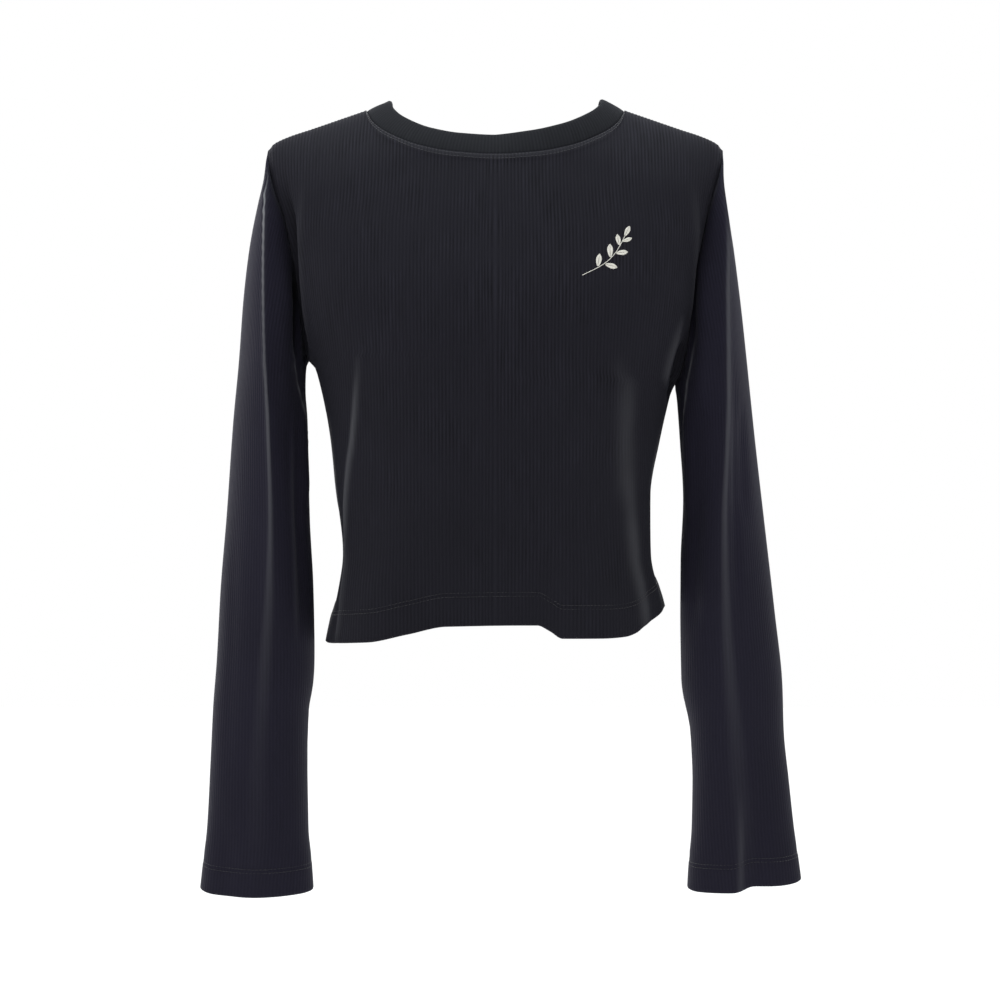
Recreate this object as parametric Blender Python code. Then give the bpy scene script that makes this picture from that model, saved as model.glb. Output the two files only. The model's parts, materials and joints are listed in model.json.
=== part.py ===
"""A cropped, long-sleeved t-shirt in fine rib knit, filled out as if worn, with its sleeves hanging empty.

Metres, +Z up. The wearer faces -Y and the wearer's left is +X. The origin lies midway between the two points
where a shoulder seam meets the neck seam. The garment is five sewn pieces: a front, a back, two sleeves and
a neckband. Hems and cuffs are the pieces' own edges, turned up inside.

Every piece is a grid of points on the cloth's outer face, lofted between unlike sections. The grids share
their seam points. Each becomes a wall of cloth that stops half a gap short of every seam, mitred where the
piece beside it turns away, so its faces are set one by one.
"""

import bpy
import numpy as np

MM = 0.001

# Cloth.
WALL = 1.6 * MM
TURNED_WALL = 2.6 * MM  # where a hem is turned up inside
BAND_WALL = 2.6 * MM  # the neckband is folded double
SEAM_GAP = 0.3 * MM
LEAST_MITRE = 0.5  # share of a wall's own direction in the direction shared at a seam
MITRE_TURNS = (-0.9, 0.98)  # cosines that a seam's turn is kept between, so that no mitre runs away
RIM_ANGLE = 50  # degrees past which an edge stays sharp

# Colours, all near black.
BODY_COLOUR = (0.0101, 0.0097, 0.0144)
SLEEVE_COLOUR = (0.0119, 0.0108, 0.0203)
BAND_COLOUR = (0.0102, 0.0107, 0.0137)

# Finished sizes.
NECK_HALF_WIDTH = 105 * MM
SHOULDER_HALF_WIDTH = 184.8 * MM
SHOULDER_DROP = 32 * MM
HEM_DEPTH = 25 * MM
CUFF_DEPTH = 22 * MM
BAND_WIDTH = 21 * MM

# Rounding of the form under the cloth.
SHOULDER_ROUND = 62 * MM  # height over which front and back turn over the shoulder
UNDERARM_ROUND = 58 * MM  # height over which the armhole closes to the underarm
EDGE_REACH = 8  # how close to its edge a panel follows the edge and not the form
NECK_SHARE = 0.562  # share of a panel's half-width from its middle to the end of its shoulder seam
NECK_RISE = 42 * MM  # how far the shoulder lines would climb to meet over the neck

# Neckband.
NECK_HALF_DEPTH = 66 * MM  # from the middle of the neck to the front and the back of its seam
BAND_LEAN = {"side": 74, "front": 38, "back": 24}  # degrees off upright: it lies along the shoulders
LEAN_POWER = 0.8  # how soon the lean changes from the sides to the front and back
LEFT_STANDS_UP = 14  # degrees by which the band stands more upright at the wearer's front left

# Slack folds.
FOLD_GROWS = 0.4  # share of a fold's run over which it grows
FOLD_FADES = 0.25  # share of its run over which it fades
CLOTH_ROUND_FORM = 1.35  # cloth from a panel's middle to its edge, for each unit straight out
BODY_SEAM_FLAT = 0.2  # share of a panel's half by its side seam where folds fade
SLEEVE_HALF_CLOTH = 135 * MM  # cloth from a sleeve's outer line to its inner line
SLEEVE_SEAM_FLAT = 0.125  # share of that cloth at each line where folds fade
ARMHOLE_FLAT = 42 * MM  # height below the armhole seam over which a sleeve's folds fade

# Grid sizes.
NECK_COLUMNS = 8
SHOULDER_COLUMNS = 6
BODY_ROWS = 10
ARMHOLE_ROWS = 16
SLEEVE_ROWS = 27
BAND_ROWS = 3
SLEEVE_ROW_POWER = 0.9  # under 1, so that rows lie closer towards the armhole
SECTION_STEPS = 64

FRONT, BACK = -1, 1  # which way along Y a panel lies
WEARERS_RIGHT, WEARERS_LEFT = -1, 1  # which way along X a side lies

PLAIN_COLUMNS = ("share", "roundness", "fold", "across", "across_top", "across_bottom")


def table(names, *rows):
    """A short table as named columns. Lengths are given in millimetres and kept in metres."""
    columns = dict(zip(names.split(), np.array(rows, float).T))
    return {name: column if name in PLAIN_COLUMNS else column * MM for name, column in columns.items()}


# The form from the hem to the neck: its half-width on each side, its depth in front of and behind the side
# seams, and how square it is.
FORM = table(
    "height right left front back roundness",
    (-432, 136, 136, 101, 92, 2.7),
    (-400, 128.5, 132.5, 98, 88, 2.8),
    (-360, 121, 124, 97, 84, 2.8),
    (-310, 127, 124.5, 100, 85, 2.65),
    (-260, 133, 132.5, 106, 88, 2.5),
    (-225, 141, 141, 111, 91.5, 2.45),
    (-190, 150, 149.5, 112, 94.5, 2.6),
    (-150, 158, 158, 107, 95, 2.85),
    (-110, 164.5, 164.5, 95, 90, 2.85),
    (-75, 172, 172, 81, 81, 2.6),
    (-45, 180, 180, 66, 68, 2.4),
    (-20, 184, 184, 54, 58, 2.4),
    (0, 184, 184, 48, 52, 2.4),
)

# The edge of both panels on each side: the side seam up to the underarm, and the armhole above it.
EDGE = {
    WEARERS_RIGHT: table(
        "height out",
        (-432, 138),
        (-407, 132.5),
        (-388, 124.8),
        (-368, 121),
        (-348, 122.3),
        (-309, 129),
        (-270, 133),
        (-235, 138.6),
        (-218, 142.5),
        (-209, 145.5),
        (-203, 151.5),
        (-196, 153.5),
        (-180, 155.5),
        (-150, 158.5),
        (-125, 162),
        (-108, 166),
        (-90, 169.5),
        (-70, 176),
        (-52, 180.5),
        (-32, 183.5),
    ),
    WEARERS_LEFT: table(
        "height out",
        (-432, 140),
        (-407, 138.5),
        (-388, 133.5),
        (-368, 125.8),
        (-348, 123.3),
        (-309, 125),
        (-270, 132.5),
        (-243, 138.5),
        (-230, 141.8),
        (-222, 145.8),
        (-213, 150),
        (-202, 152.5),
        (-184, 155.5),
        (-150, 158.5),
        (-125, 162),
        (-108, 166),
        (-90, 169.5),
        (-70, 174),
        (-52, 179),
        (-32, 183),
    ),
}
UNDERARM = {WEARERS_RIGHT: -203 * MM, WEARERS_LEFT: -222 * MM}
ARMHOLE_DEPTH = {FRONT: 26 * MM, BACK: 32 * MM}

# Height of the neck seam, from the middle of the neck (0) to the shoulder seam (1).
NECK_SEAM = {
    FRONT: table(
        "share height",
        (-0.3, -40),
        (0, -42),
        (0.3, -40),
        (0.56, -34.5),
        (0.8, -23.5),
        (0.94, -12),
        (1, 0),
    ),
    BACK: table(
        "share height",
        (-0.35, -31),
        (0, -32),
        (0.35, -31),
        (0.62, -27.5),
        (0.84, -19),
        (0.95, -9.5),
        (1, 0),
    ),
}
# Height along the shoulder seam, from the neck seam (0) to the armhole (1).
SHOULDER_SEAM = table("share height", (0, 0), (0.22, -6), (0.55, -15), (0.78, -21), (0.93, -26.5), (1, -32))

# Height of the hem across each panel, from the wearer's right (-1) to the wearer's left (1).
HEM = {
    FRONT: table(
        "across height",
        (-1, -430),
        (-0.75, -429),
        (-0.52, -427),
        (-0.36, -420),
        (-0.2, -413.5),
        (0.17, -412.5),
        (0.22, -417),
        (0.27, -423),
        (0.42, -423.5),
        (0.53, -422.5),
        (0.6, -419.5),
        (0.65, -414.5),
        (0.72, -410),
        (0.84, -405.5),
        (1, -401),
    ),
    BACK: table(
        "across height",
        (-1, -430),
        (-0.7, -423),
        (-0.4, -416),
        (-0.1, -418),
        (0.25, -413),
        (0.6, -414),
        (1, -401),
    ),
}

# Slack folds of the body: where each runs on the half-width at its ends, its reach and how far it stands.
BODY_FOLDS = {
    FRONT: table(
        "top bottom across_top across_bottom width push",
        (-210, -420, -0.66, -0.78, 22, 3.5),
        (-215, -420, 0.64, 0.76, 24, 3.5),
        (-330, -470, 0.38, 0.41, 26, 6),
        (-330, -470, 0.18, 0.21, 24, -5),
        (-340, -470, -0.2, -0.18, 40, -4),
        (-340, -470, -0.52, -0.56, 30, 4),
    ),
    BACK: table(
        "top bottom across_top across_bottom width push",
        (-215, -420, -0.6, -0.74, 26, 3.5),
        (-205, -420, 0.62, 0.72, 24, 3.5),
        (-290, -470, -0.28, -0.33, 32, 5),
        (-310, -470, -0.06, -0.04, 26, -4),
        (-300, -470, 0.25, 0.3, 30, 4.5),
    ),
}

# Sections of each sleeve: how far out its outer line and its front and back folds lie, its depth to front and
# back, and how sharp the folds are.
SLEEVE = {
    WEARERS_RIGHT: table(
        "height outer front_line back_line front back fold",
        (-32, 186, 182.5, 185, 33, 40, 0.2),
        (-56, 188.5, 183, 186, 34, 41, 0.4),
        (-75, 192.3, 185, 187, 38, 44, 0.5),
        (-114, 199.6, 185, 188, 46, 50, 0.6),
        (-153, 204.2, 184.5, 189, 53, 56, 0.75),
        (-204, 208, 183, 189, 59, 60, 0.85),
        (-251, 212.5, 180.5, 190, 60, 61, 0.85),
        (-329, 218, 178.5, 192, 56, 58, 0.75),
        (-387, 222.8, 180, 193, 50, 54, 0.55),
        (-446, 226, 184, 192, 44, 49, 0.35),
        (-485, 229, 187, 192, 40, 44, 0.25),
        (-524, 230.8, 190, 192, 37, 39, 0.2),
        (-582, 233.8, 192, 192, 33, 34, 0.12),
        (-612, 237.4, 193, 193, 31, 31, 0.08),
        (-640, 240.5, 194, 194, 30, 30, 0.05),
    ),
    WEARERS_LEFT: table(
        "height outer front_line back_line front back fold",
        (-32, 184, 181.5, 184, 33, 40, 0.2),
        (-56, 184.6, 181.8, 184.5, 34, 41, 0.4),
        (-75, 186.8, 183.5, 186, 38, 44, 0.5),
        (-96, 189.6, 185.5, 187, 42.5, 47.5, 0.55),
        (-114, 192.6, 186, 187, 46, 50, 0.6),
        (-153, 198, 185, 188, 53, 56, 0.75),
        (-204, 203.6, 185, 188, 59, 60, 0.85),
        (-231, 206.4, 185, 189, 60, 61, 0.85),
        (-270, 210.6, 184, 190, 60, 61, 0.85),
        (-329, 217.4, 182, 192, 56, 58, 0.75),
        (-407, 226.4, 184, 194, 48, 53, 0.5),
        (-465, 232.6, 188, 195, 43, 47, 0.3),
        (-504, 233.8, 192, 197, 39, 42, 0.22),
        (-543, 237.8, 195, 198, 36, 38, 0.16),
        (-582, 242, 199, 200, 33, 34, 0.1),
        (-612, 246.4, 201, 201, 31, 31, 0.06),
        (-640, 250, 202, 202, 30, 30, 0.05),
    ),
}
# How far out each sleeve's inner line lies, from the underarm down.
INNER_LINE = {
    WEARERS_RIGHT: table(
        "height out",
        (-203, 151.5),
        (-208, 154.2),
        (-225, 154.8),
        (-251, 153.2),
        (-329, 151.6),
        (-387, 148.6),
        (-446, 147.4),
        (-464, 148.4),
        (-487, 152),
        (-524, 153.2),
        (-582, 152.4),
        (-612, 149.4),
        (-640, 147.6),
    ),
    WEARERS_LEFT: table(
        "height out",
        (-222, 145.8),
        (-230, 147.4),
        (-243, 148.6),
        (-270, 150.4),
        (-316, 153),
        (-365, 151),
        (-413, 150.7),
        (-462, 151.4),
        (-504, 158.6),
        (-543, 160.4),
        (-582, 159.8),
        (-612, 157.2),
        (-640, 155.4),
    ),
}

# Height of the cuff's edge round each sleeve, from its outer line (0) to its inner line (1).
CUFF = {
    (WEARERS_RIGHT, FRONT): table(
        "share height",
        (0, -630),
        (0.2, -633),
        (0.5, -634.5),
        (0.8, -633),
        (1, -631),
    ),
    (WEARERS_RIGHT, BACK): table("share height", (0, -630), (0.5, -628), (1, -631)),
    (WEARERS_LEFT, FRONT): table(
        "share height",
        (0, -623),
        (0.25, -625.5),
        (0.45, -626),
        (0.6, -631),
        (0.85, -631.5),
        (1, -630),
    ),
    (WEARERS_LEFT, BACK): table("share height", (0, -623), (0.5, -626), (1, -630)),
}

# Soft folds round each sleeve, as those of the body, placed by the share from the outer to the inner line.
SLEEVE_FOLDS = {
    (WEARERS_RIGHT, FRONT): table(
        "top bottom across_top across_bottom width push",
        (-90, -270, 0.53, 0.71, 11, 4),
        (-210, -330, 0.8, 0.86, 9, 3),
        (-260, -420, 0.72, 0.8, 10, -3),
        (-560, -680, 0.28, 0.33, 14, -2.5),
    ),
    (WEARERS_RIGHT, BACK): table(
        "top bottom across_top across_bottom width push",
        (-230, -420, 0.72, 0.82, 12, -3),
        (-500, -680, 0.38, 0.42, 16, -3),
    ),
    (WEARERS_LEFT, FRONT): table(
        "top bottom across_top across_bottom width push",
        (-95, -260, 0.52, 0.7, 11, 3.5),
        (-225, -340, 0.32, 0.36, 9, -2.5),
        (-215, -340, 0.78, 0.84, 9, 3),
        (-280, -430, 0.7, 0.78, 10, -3),
        (-540, -680, 0.4, 0.47, 12, -4.5),
    ),
    (WEARERS_LEFT, BACK): table(
        "top bottom across_top across_bottom width push",
        (-240, -440, 0.7, 0.8, 12, -3),
        (-520, -680, 0.33, 0.38, 16, -3),
    ),
}


def smooth(at, knots, values):
    """The value on a smooth curve through the knots, which never overshoots between two of them."""
    steps = np.diff(knots)
    slopes = np.diff(values) / steps
    pairs = slopes[:-1] * slopes[1:]
    inner = np.where(pairs > 0, 2 * pairs / np.where(pairs > 0, slopes[:-1] + slopes[1:], 1), 0)
    tangents = np.concatenate([slopes[:1], inner, slopes[-1:]])
    at = np.clip(at, knots[0], knots[-1])
    piece = np.clip(np.searchsorted(knots, at, side="right") - 1, 0, len(steps) - 1)
    step = steps[piece]
    t = (at - knots[piece]) / step
    start, end = values[piece], values[piece + 1]
    leaving, arriving = tangents[piece] * step, tangents[piece + 1] * step
    return (
        start * (1 + 2 * t) * (1 - t) ** 2
        + leaving * t * (1 - t) ** 2
        + end * t**2 * (3 - 2 * t)
        + arriving * t**2 * (t - 1)
    )


def look_up(rows, name, at):
    """A named column of a table, read along its first column."""
    knots = next(iter(rows.values()))
    return smooth(at, knots, rows[name]) if knots[0] < knots[-1] else smooth(-at, -knots, rows[name])


def quarter_round(share):
    """The rise of a quarter of a circle, from 0 to 1."""
    return np.sqrt(1 - (1 - np.clip(share, 0, 1)) ** 2)


def ease(share):
    """A soft step from 0 to 1."""
    share = np.clip(share, 0, 1)
    return share * share * (3 - 2 * share)


def along(curve_x, curve_y, share):
    """For rows of points along curves, which place along them lies at each share of their length."""
    lengths = np.hypot(np.diff(curve_x, axis=1), np.diff(curve_y, axis=1))
    run = np.concatenate([np.zeros((len(share), 1)), np.cumsum(lengths, axis=1)], axis=1)
    wanted = share * run[:, -1]
    after = np.clip((run < wanted[:, None]).sum(axis=1), 1, run.shape[1] - 1)[:, None]
    low = np.take_along_axis(run, after - 1, axis=1)[:, 0]
    high = np.take_along_axis(run, after, axis=1)[:, 0]
    return (after[:, 0] - 1 + (wanted - low) / (high - low)) / (run.shape[1] - 1)


def quarter_section(share, edge_out, edge_depth, depth, roundness):
    """How far out and how deep the form lies at a share of its cloth from its middle to the panel's edge."""
    power = 2 / roundness
    half_width = edge_out / (1 - (edge_depth / depth) ** roundness) ** (1 / roundness)
    last_turn = np.arcsin((edge_out / half_width) ** (1 / power))

    def point(turn):
        return half_width * np.sin(turn) ** power, depth * np.cos(turn) ** power

    half_width, depth, power = half_width[:, None], depth[:, None], power[:, None]
    place = along(*point(last_turn[:, None] * np.linspace(0, 1, SECTION_STEPS)), share)
    out, deep = point(last_turn[:, None] * place[:, None])
    return out[:, 0], deep[:, 0]


def armhole_depth(face, side, height):
    """How far the armhole's edge lies in front of or behind the shoulder seam, before the crown rounds it."""
    return ARMHOLE_DEPTH[face] * quarter_round((height - UNDERARM[side]) / UNDERARM_ROUND)


def shoulder_height(share):
    """Height of the shoulder line over a share of a panel's half-width, as it runs on over the neck."""
    over_neck = NECK_RISE * (1 - share / NECK_SHARE)
    on_shoulder = look_up(SHOULDER_SEAM, "height", (share - NECK_SHARE) / (1 - NECK_SHARE))
    return np.where(share < NECK_SHARE, over_neck, on_shoulder)


def seam_out(share):
    """How far out the shoulder line lies over a share of a panel's half-width."""
    over_neck = NECK_HALF_WIDTH * share / NECK_SHARE
    on_shoulder = (share - NECK_SHARE) / (1 - NECK_SHARE)
    on_shoulder = NECK_HALF_WIDTH + (SHOULDER_HALF_WIDTH - NECK_HALF_WIDTH) * on_shoulder
    return np.where(share < NECK_SHARE, over_neck, on_shoulder)


def body_side(face, side, share, height):
    """Points of a panel's half, at shares of its half-width from the middle to its edge."""
    form_out = look_up(FORM, "right" if side == WEARERS_RIGHT else "left", height)
    depth = look_up(FORM, "front" if face == FRONT else "back", height)
    roundness = look_up(FORM, "roundness", height)
    out, deep = quarter_section(share, form_out, armhole_depth(face, side, height), depth, roundness)
    out = out + (look_up(EDGE[side], "out", height) - form_out) * share**EDGE_REACH
    crown = quarter_round((shoulder_height(share) - height) / SHOULDER_ROUND)
    out = out + (seam_out(share) - out) * (1 - crown)
    return np.stack([side * out, face * deep * crown, height], axis=-1)


def body_points(face, across, height):
    """Points of a panel, with across running from -1 at the wearer's right edge to 1 at the left."""
    right = body_side(face, WEARERS_RIGHT, np.abs(across), height)
    left = body_side(face, WEARERS_LEFT, np.abs(across), height)
    return np.where(across[:, None] < 0, right, left)


def fold_push(folds, place, height, half_width):
    """How far the folds stand out at each place, which runs along the width in shares of it."""
    push = np.zeros_like(height)
    for top, bottom, start, end, width, stand in zip(*folds.values()):
        down = (top - height) / (top - bottom)
        middle = start + (end - start) * down
        crest = np.exp(-(((place - middle) * half_width / width) ** 2))
        push += stand * crest * ease(down / FOLD_GROWS) * ease((1 - down) / FOLD_FADES)
    return push


def grid_normals(grid, closed):
    """Outward directions at a grid's points, weighted by area."""
    normals = np.zeros_like(grid)
    rows, columns = grid.shape[:2]
    last = columns if closed else columns - 1
    right = (np.arange(last) + 1) % columns
    left = np.arange(last)
    lower, upper = slice(0, rows - 1), slice(1, rows)
    corners = [(lower, left), (lower, right), (upper, right), (upper, left)]
    a, b, c, d = (grid[row, column] for row, column in corners)
    facing = np.cross(c - a, d - b)
    for row, column in corners:
        np.add.at(normals, (row, column), facing)
    return normals


def unit(vectors):
    """Vectors at length 1, except those that have none."""
    return vectors / np.maximum(np.linalg.norm(vectors, axis=-1, keepdims=True), 1e-12)


def pushed(grid, push, closed=False):
    """A grid with each point moved out along its own direction."""
    return grid + unit(grid_normals(grid, closed)) * push[..., None]


def half_columns():
    """Shares of a panel's half-width at its columns, closer together where the neck seam turns up."""
    neck = NECK_SHARE * np.sin(np.linspace(0, np.pi / 2, NECK_COLUMNS + 1))
    shoulder = np.linspace(NECK_SHARE, 1, SHOULDER_COLUMNS + 1)
    return np.concatenate([neck, shoulder[1:]])


def armhole_rises():
    """Shares of the height from underarm to shoulder tip, closer together where the armhole turns."""
    return (1 - np.cos(np.linspace(0, np.pi, ARMHOLE_ROWS + 1))) / 2


def top_height(face, share):
    """Height of a panel's top edge: the neck seam, then the shoulder seam."""
    neck = look_up(NECK_SEAM[face], "height", share / NECK_SHARE)
    return np.where(share < NECK_SHARE, neck, shoulder_height(np.maximum(share, NECK_SHARE)))


def panel_grid(face):
    """The outer face of the front or back, in rows from the hem up."""
    half = half_columns()
    across = np.concatenate([-half[:0:-1], half])
    share = np.abs(across)
    hem = look_up(HEM[face], "height", across)
    under_middle = (UNDERARM[WEARERS_RIGHT] + UNDERARM[WEARERS_LEFT]) / 2
    under = under_middle + (UNDERARM[WEARERS_LEFT] - under_middle) * across
    top = top_height(face, share)
    turned = hem + HEM_DEPTH
    rows = [hem]
    rows += [turned + (under - turned) * k / BODY_ROWS for k in range(BODY_ROWS)]
    rows += [under + (top - under) * rise for rise in armhole_rises()]
    heights = np.array(rows)
    places = np.broadcast_to(across, heights.shape)
    grid = body_points(face, places.ravel(), heights.ravel()).reshape(heights.shape + (3,))
    right_out = look_up(EDGE[WEARERS_RIGHT], "out", heights)
    left_out = look_up(EDGE[WEARERS_LEFT], "out", heights)
    cloth = np.where(places < 0, right_out, left_out) * CLOTH_ROUND_FORM
    push = fold_push(BODY_FOLDS[face], places, heights, cloth) * ease((1 - share) / BODY_SEAM_FLAT)
    ordered = slice(None) if face == FRONT else slice(None, None, -1)
    return pushed(grid[:, ordered], push[:, ordered])


def armhole_points(face, side, height):
    """Points of the armhole seam, at heights from the underarm to the shoulder tip."""
    return body_side(face, side, np.ones_like(height), height)


def sleeve_section(face, side, height):
    """A sleeve's level section at each height, as a function from 0 at its outer line to 1 at its end.

    The end is the armhole seam above the underarm, and the sleeve's inner line below it.
    """
    shape = {name: look_up(SLEEVE[side], name, height)[:, None] for name in SLEEVE[side] if name != "height"}
    armhole, inner_line = look_up(EDGE[side], "out", height), look_up(INNER_LINE[side], "out", height)
    end = np.where(height > UNDERARM[side], armhole, inner_line)[:, None]
    middle = (shape["front_line"] + shape["back_line"]) / 2
    depth = shape["front" if face == FRONT else "back"]
    offset = shape["front_line" if face == FRONT else "back_line"] - middle
    power = 1 + shape["fold"]
    end_rise = armhole_depth(face, side, height)[:, None] / depth
    last_turn = np.pi - np.arcsin(end_rise)
    inner_reach = (middle + offset * end_rise - end) / np.abs(np.cos(last_turn)) ** power
    crown = quarter_round((-SHOULDER_DROP - height) / SHOULDER_ROUND)[:, None]

    def point(place):
        turn = last_turn * place
        swing = np.cos(turn)
        reach = np.where(swing > 0, shape["outer"] - middle, inner_reach)
        out = middle + offset * np.sin(turn) + reach * np.sign(swing) * np.abs(swing) ** power
        return SHOULDER_HALF_WIDTH + (out - SHOULDER_HALF_WIDTH) * crown, depth * np.sin(turn) * crown

    return point


def section_cloth(face, side, height):
    """Cloth round a sleeve's section from its outer line to its end, at each height."""
    out, deep = sleeve_section(face, side, height)(np.linspace(0, 1, SECTION_STEPS)[None])
    return np.hypot(np.diff(out, axis=1), np.diff(deep, axis=1)).sum(axis=1)


def sleeve_points(face, side, share, height):
    """Points of a sleeve's outer face. Above the underarm a column keeps its distance from the outer line."""
    point = sleeve_section(face, side, height)
    widest = section_cloth(face, side, np.array([UNDERARM[side]]))
    narrowing = np.where(height > UNDERARM[side], widest / section_cloth(face, side, height), 1)
    out, deep = point(along(*point(np.linspace(0, 1, SECTION_STEPS)[None]), share * narrowing)[:, None])
    return np.stack([side * out[:, 0], face * deep[:, 0], height], axis=-1)


def sleeve_half(face, side):
    """One half of a sleeve, front or back, in rows from the cuff up and columns from the inner line out."""
    start = UNDERARM[side] + (-SHOULDER_DROP - UNDERARM[side]) * armhole_rises()
    cloth = section_cloth(face, side, start)
    share = cloth / cloth[0]
    turned = look_up(CUFF[side, face], "height", share) + CUFF_DEPTH
    climbs = np.linspace(0, 1, SLEEVE_ROWS) ** SLEEVE_ROW_POWER
    heights = np.array([turned - CUFF_DEPTH] + [turned + (start - turned) * climb for climb in climbs])
    places = np.broadcast_to(share, heights.shape)
    grid = sleeve_points(face, side, places.ravel(), heights.ravel()).reshape(heights.shape + (3,))
    grid[-1] = armhole_points(face, side, start)
    flat = ease((1 - share) / SLEEVE_SEAM_FLAT) * ease(share / SLEEVE_SEAM_FLAT)
    push = fold_push(SLEEVE_FOLDS[side, face], places, heights, SLEEVE_HALF_CLOTH) * flat
    push *= ease((start - heights) / ARMHOLE_FLAT)
    return grid, push


def sleeve_grid(side):
    """The outer face of a sleeve as a tube: from its inner line forwards round to its inner line again."""
    (front, front_push), (back, back_push) = sleeve_half(FRONT, side), sleeve_half(BACK, side)
    grid = np.concatenate([front, back[:, -2:0:-1]], axis=1)
    push = np.concatenate([front_push, back_push[:, -2:0:-1]], axis=1)
    if side == WEARERS_RIGHT:
        grid, push = grid[:, ::-1], push[:, ::-1]
    return pushed(grid, push, closed=True)


def neckband_grid(front, back):
    """The outer face of the neckband, which stands on the two panels' neck seams and leans in."""
    middle = NECK_COLUMNS + SHOULDER_COLUMNS
    neck = slice(middle - NECK_COLUMNS, middle + NECK_COLUMNS + 1)
    seam = np.concatenate([front[-1, neck], back[-1, neck][1:-1]])
    turn = np.arctan2(-seam[:, 1] / NECK_HALF_DEPTH, seam[:, 0] / NECK_HALF_WIDTH)
    facing_front = np.clip(np.sin(turn), 0, 1) ** LEAN_POWER
    facing_back = np.clip(-np.sin(turn), 0, 1) ** LEAN_POWER
    lean = BAND_LEAN["side"] + (BAND_LEAN["front"] - BAND_LEAN["side"]) * facing_front
    lean = lean + (BAND_LEAN["back"] - BAND_LEAN["side"]) * facing_back
    lean = np.radians(lean - LEFT_STANDS_UP * np.clip(np.sin(2 * turn), 0, 1) * (turn < np.pi / 2))
    inwards = np.stack([-np.cos(turn), np.sin(turn), np.zeros(len(turn))], axis=-1)
    rise = inwards * np.sin(lean)[:, None] + np.array([0, 0, 1]) * np.cos(lean)[:, None]
    return np.array([seam + rise * BAND_WIDTH * row / BAND_ROWS for row in range(BAND_ROWS + 1)])


def key_of(point):
    """A point to a thousandth of a millimetre, the same for every piece that shares it."""
    return tuple(np.round(point / MM, 3) + 0.0)


def shared_directions(grids):
    """Outward directions at every grid's points. At a seam the body, the sleeve and the band count alike."""
    sheets = {"front_panel": "body", "back_panel": "body"}
    totals = {}
    for name, (grid, closed) in grids.items():
        sums = totals.setdefault(sheets.get(name, name), {})
        for point, normal in zip(grid.reshape(-1, 3), unit(grid_normals(grid, closed)).reshape(-1, 3)):
            sums[key_of(point)] = sums.get(key_of(point), 0) + normal

    def shared(point):
        key = key_of(point)
        return sum(unit(sums[key]) for sums in totals.values() if key in sums)

    return {
        name: unit(np.array([shared(point) for point in grid.reshape(-1, 3)])).reshape(grid.shape)
        for name, (grid, _) in grids.items()
    }


def borders(rows, columns, closed, sewn):
    """Loops round a grid's open edges: the points, what lies beside each step's two ends, and its seams."""
    index = np.arange(rows * columns).reshape(rows, columns)
    if closed:
        edges = [("bottom", index[0], index[1]), ("top", index[-1], index[-2])]
        return [
            (edge, beside, np.roll(beside, -1), np.full(columns, name in sewn))
            for name, edge, beside in edges
        ]
    sides = [("bottom", index[0], index[1]), ("last", index[:, -1], index[:, -2])]
    sides += [("top", index[-1, ::-1], index[-2, ::-1]), ("first", index[::-1, 0], index[::-1, 1])]
    loop = np.concatenate([edge[:-1] for _, edge, _ in sides])
    starts = np.concatenate([beside[:-1] for _, _, beside in sides])
    ends = np.concatenate([beside[1:] for _, _, beside in sides])
    seams = np.concatenate([np.full(len(edge) - 1, name in sewn) for name, edge, _ in sides])
    return [(loop, starts, ends, seams)]


def set_back(grid, directions, closed, sewn):
    """How each seam point moves into its own piece, so that two pieces stay a gap apart."""
    points, outwards = grid.reshape(-1, 3), directions.reshape(-1, 3)
    moves = np.zeros_like(points)
    for loop, starts, ends, seams in borders(*grid.shape[:2], closed, sewn):
        after = np.roll(loop, -1)
        into = points[starts] + points[ends] - points[loop] - points[after]
        square = unit(np.cross(points[after] - points[loop], outwards[loop] + outwards[after]))
        ahead = square * np.sign((square * into).sum(axis=1))[:, None]
        ahead_by = np.where(seams, SEAM_GAP / 2, 0.0)
        behind, behind_by = np.roll(ahead, 1, axis=0), np.roll(ahead_by, 1)
        turn = np.clip((ahead * behind).sum(axis=1), *MITRE_TURNS)
        along_ahead = (ahead_by - turn * behind_by) / (1 - turn**2)
        along_behind = (behind_by - turn * ahead_by) / (1 - turn**2)
        moves[loop] = ahead * along_ahead[:, None] + behind * along_behind[:, None]
    return moves.reshape(grid.shape)


def rim_faces(points, loop, count):
    """Triangles over a wall's open edge, split from the higher outer point, alike in the piece next to it."""
    faces = []
    for here, ahead in zip(loop[:-1], loop[1:]):
        if points[here][2] > points[ahead][2]:
            faces += [[ahead, here, ahead + count], [here, here + count, ahead + count]]
        else:
            faces += [[ahead, here, here + count], [ahead, here + count, ahead + count]]
    return faces


def cloth_wall(grid, directions, thickness, closed, sewn):
    """Points and faces of a wall of cloth under a grid of its outer face."""
    own = unit(grid_normals(grid, closed))
    mitre = np.clip((own * directions).sum(axis=-1), LEAST_MITRE, 1)
    outer = grid + set_back(grid, directions, closed, sewn)
    inner = outer - directions * (thickness / mitre)[..., None]
    rows, columns = grid.shape[:2]
    count = rows * columns
    index = np.arange(count).reshape(rows, columns)
    if closed:
        index = np.concatenate([index, index[:, :1]], axis=1)
    quads = np.stack([index[:-1, :-1], index[:-1, 1:], index[1:, 1:], index[1:, :-1]], axis=-1).reshape(-1, 4)
    loops = [index[0], index[-1, ::-1]]
    if not closed:
        loops += [index[::-1, 0], index[:, -1]]
    points = np.concatenate([outer.reshape(-1, 3), inner.reshape(-1, 3)])
    faces = quads.tolist() + (quads[:, ::-1] + count).tolist()
    for loop in loops:
        faces += rim_faces(points, loop, count)
    return points, faces


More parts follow.
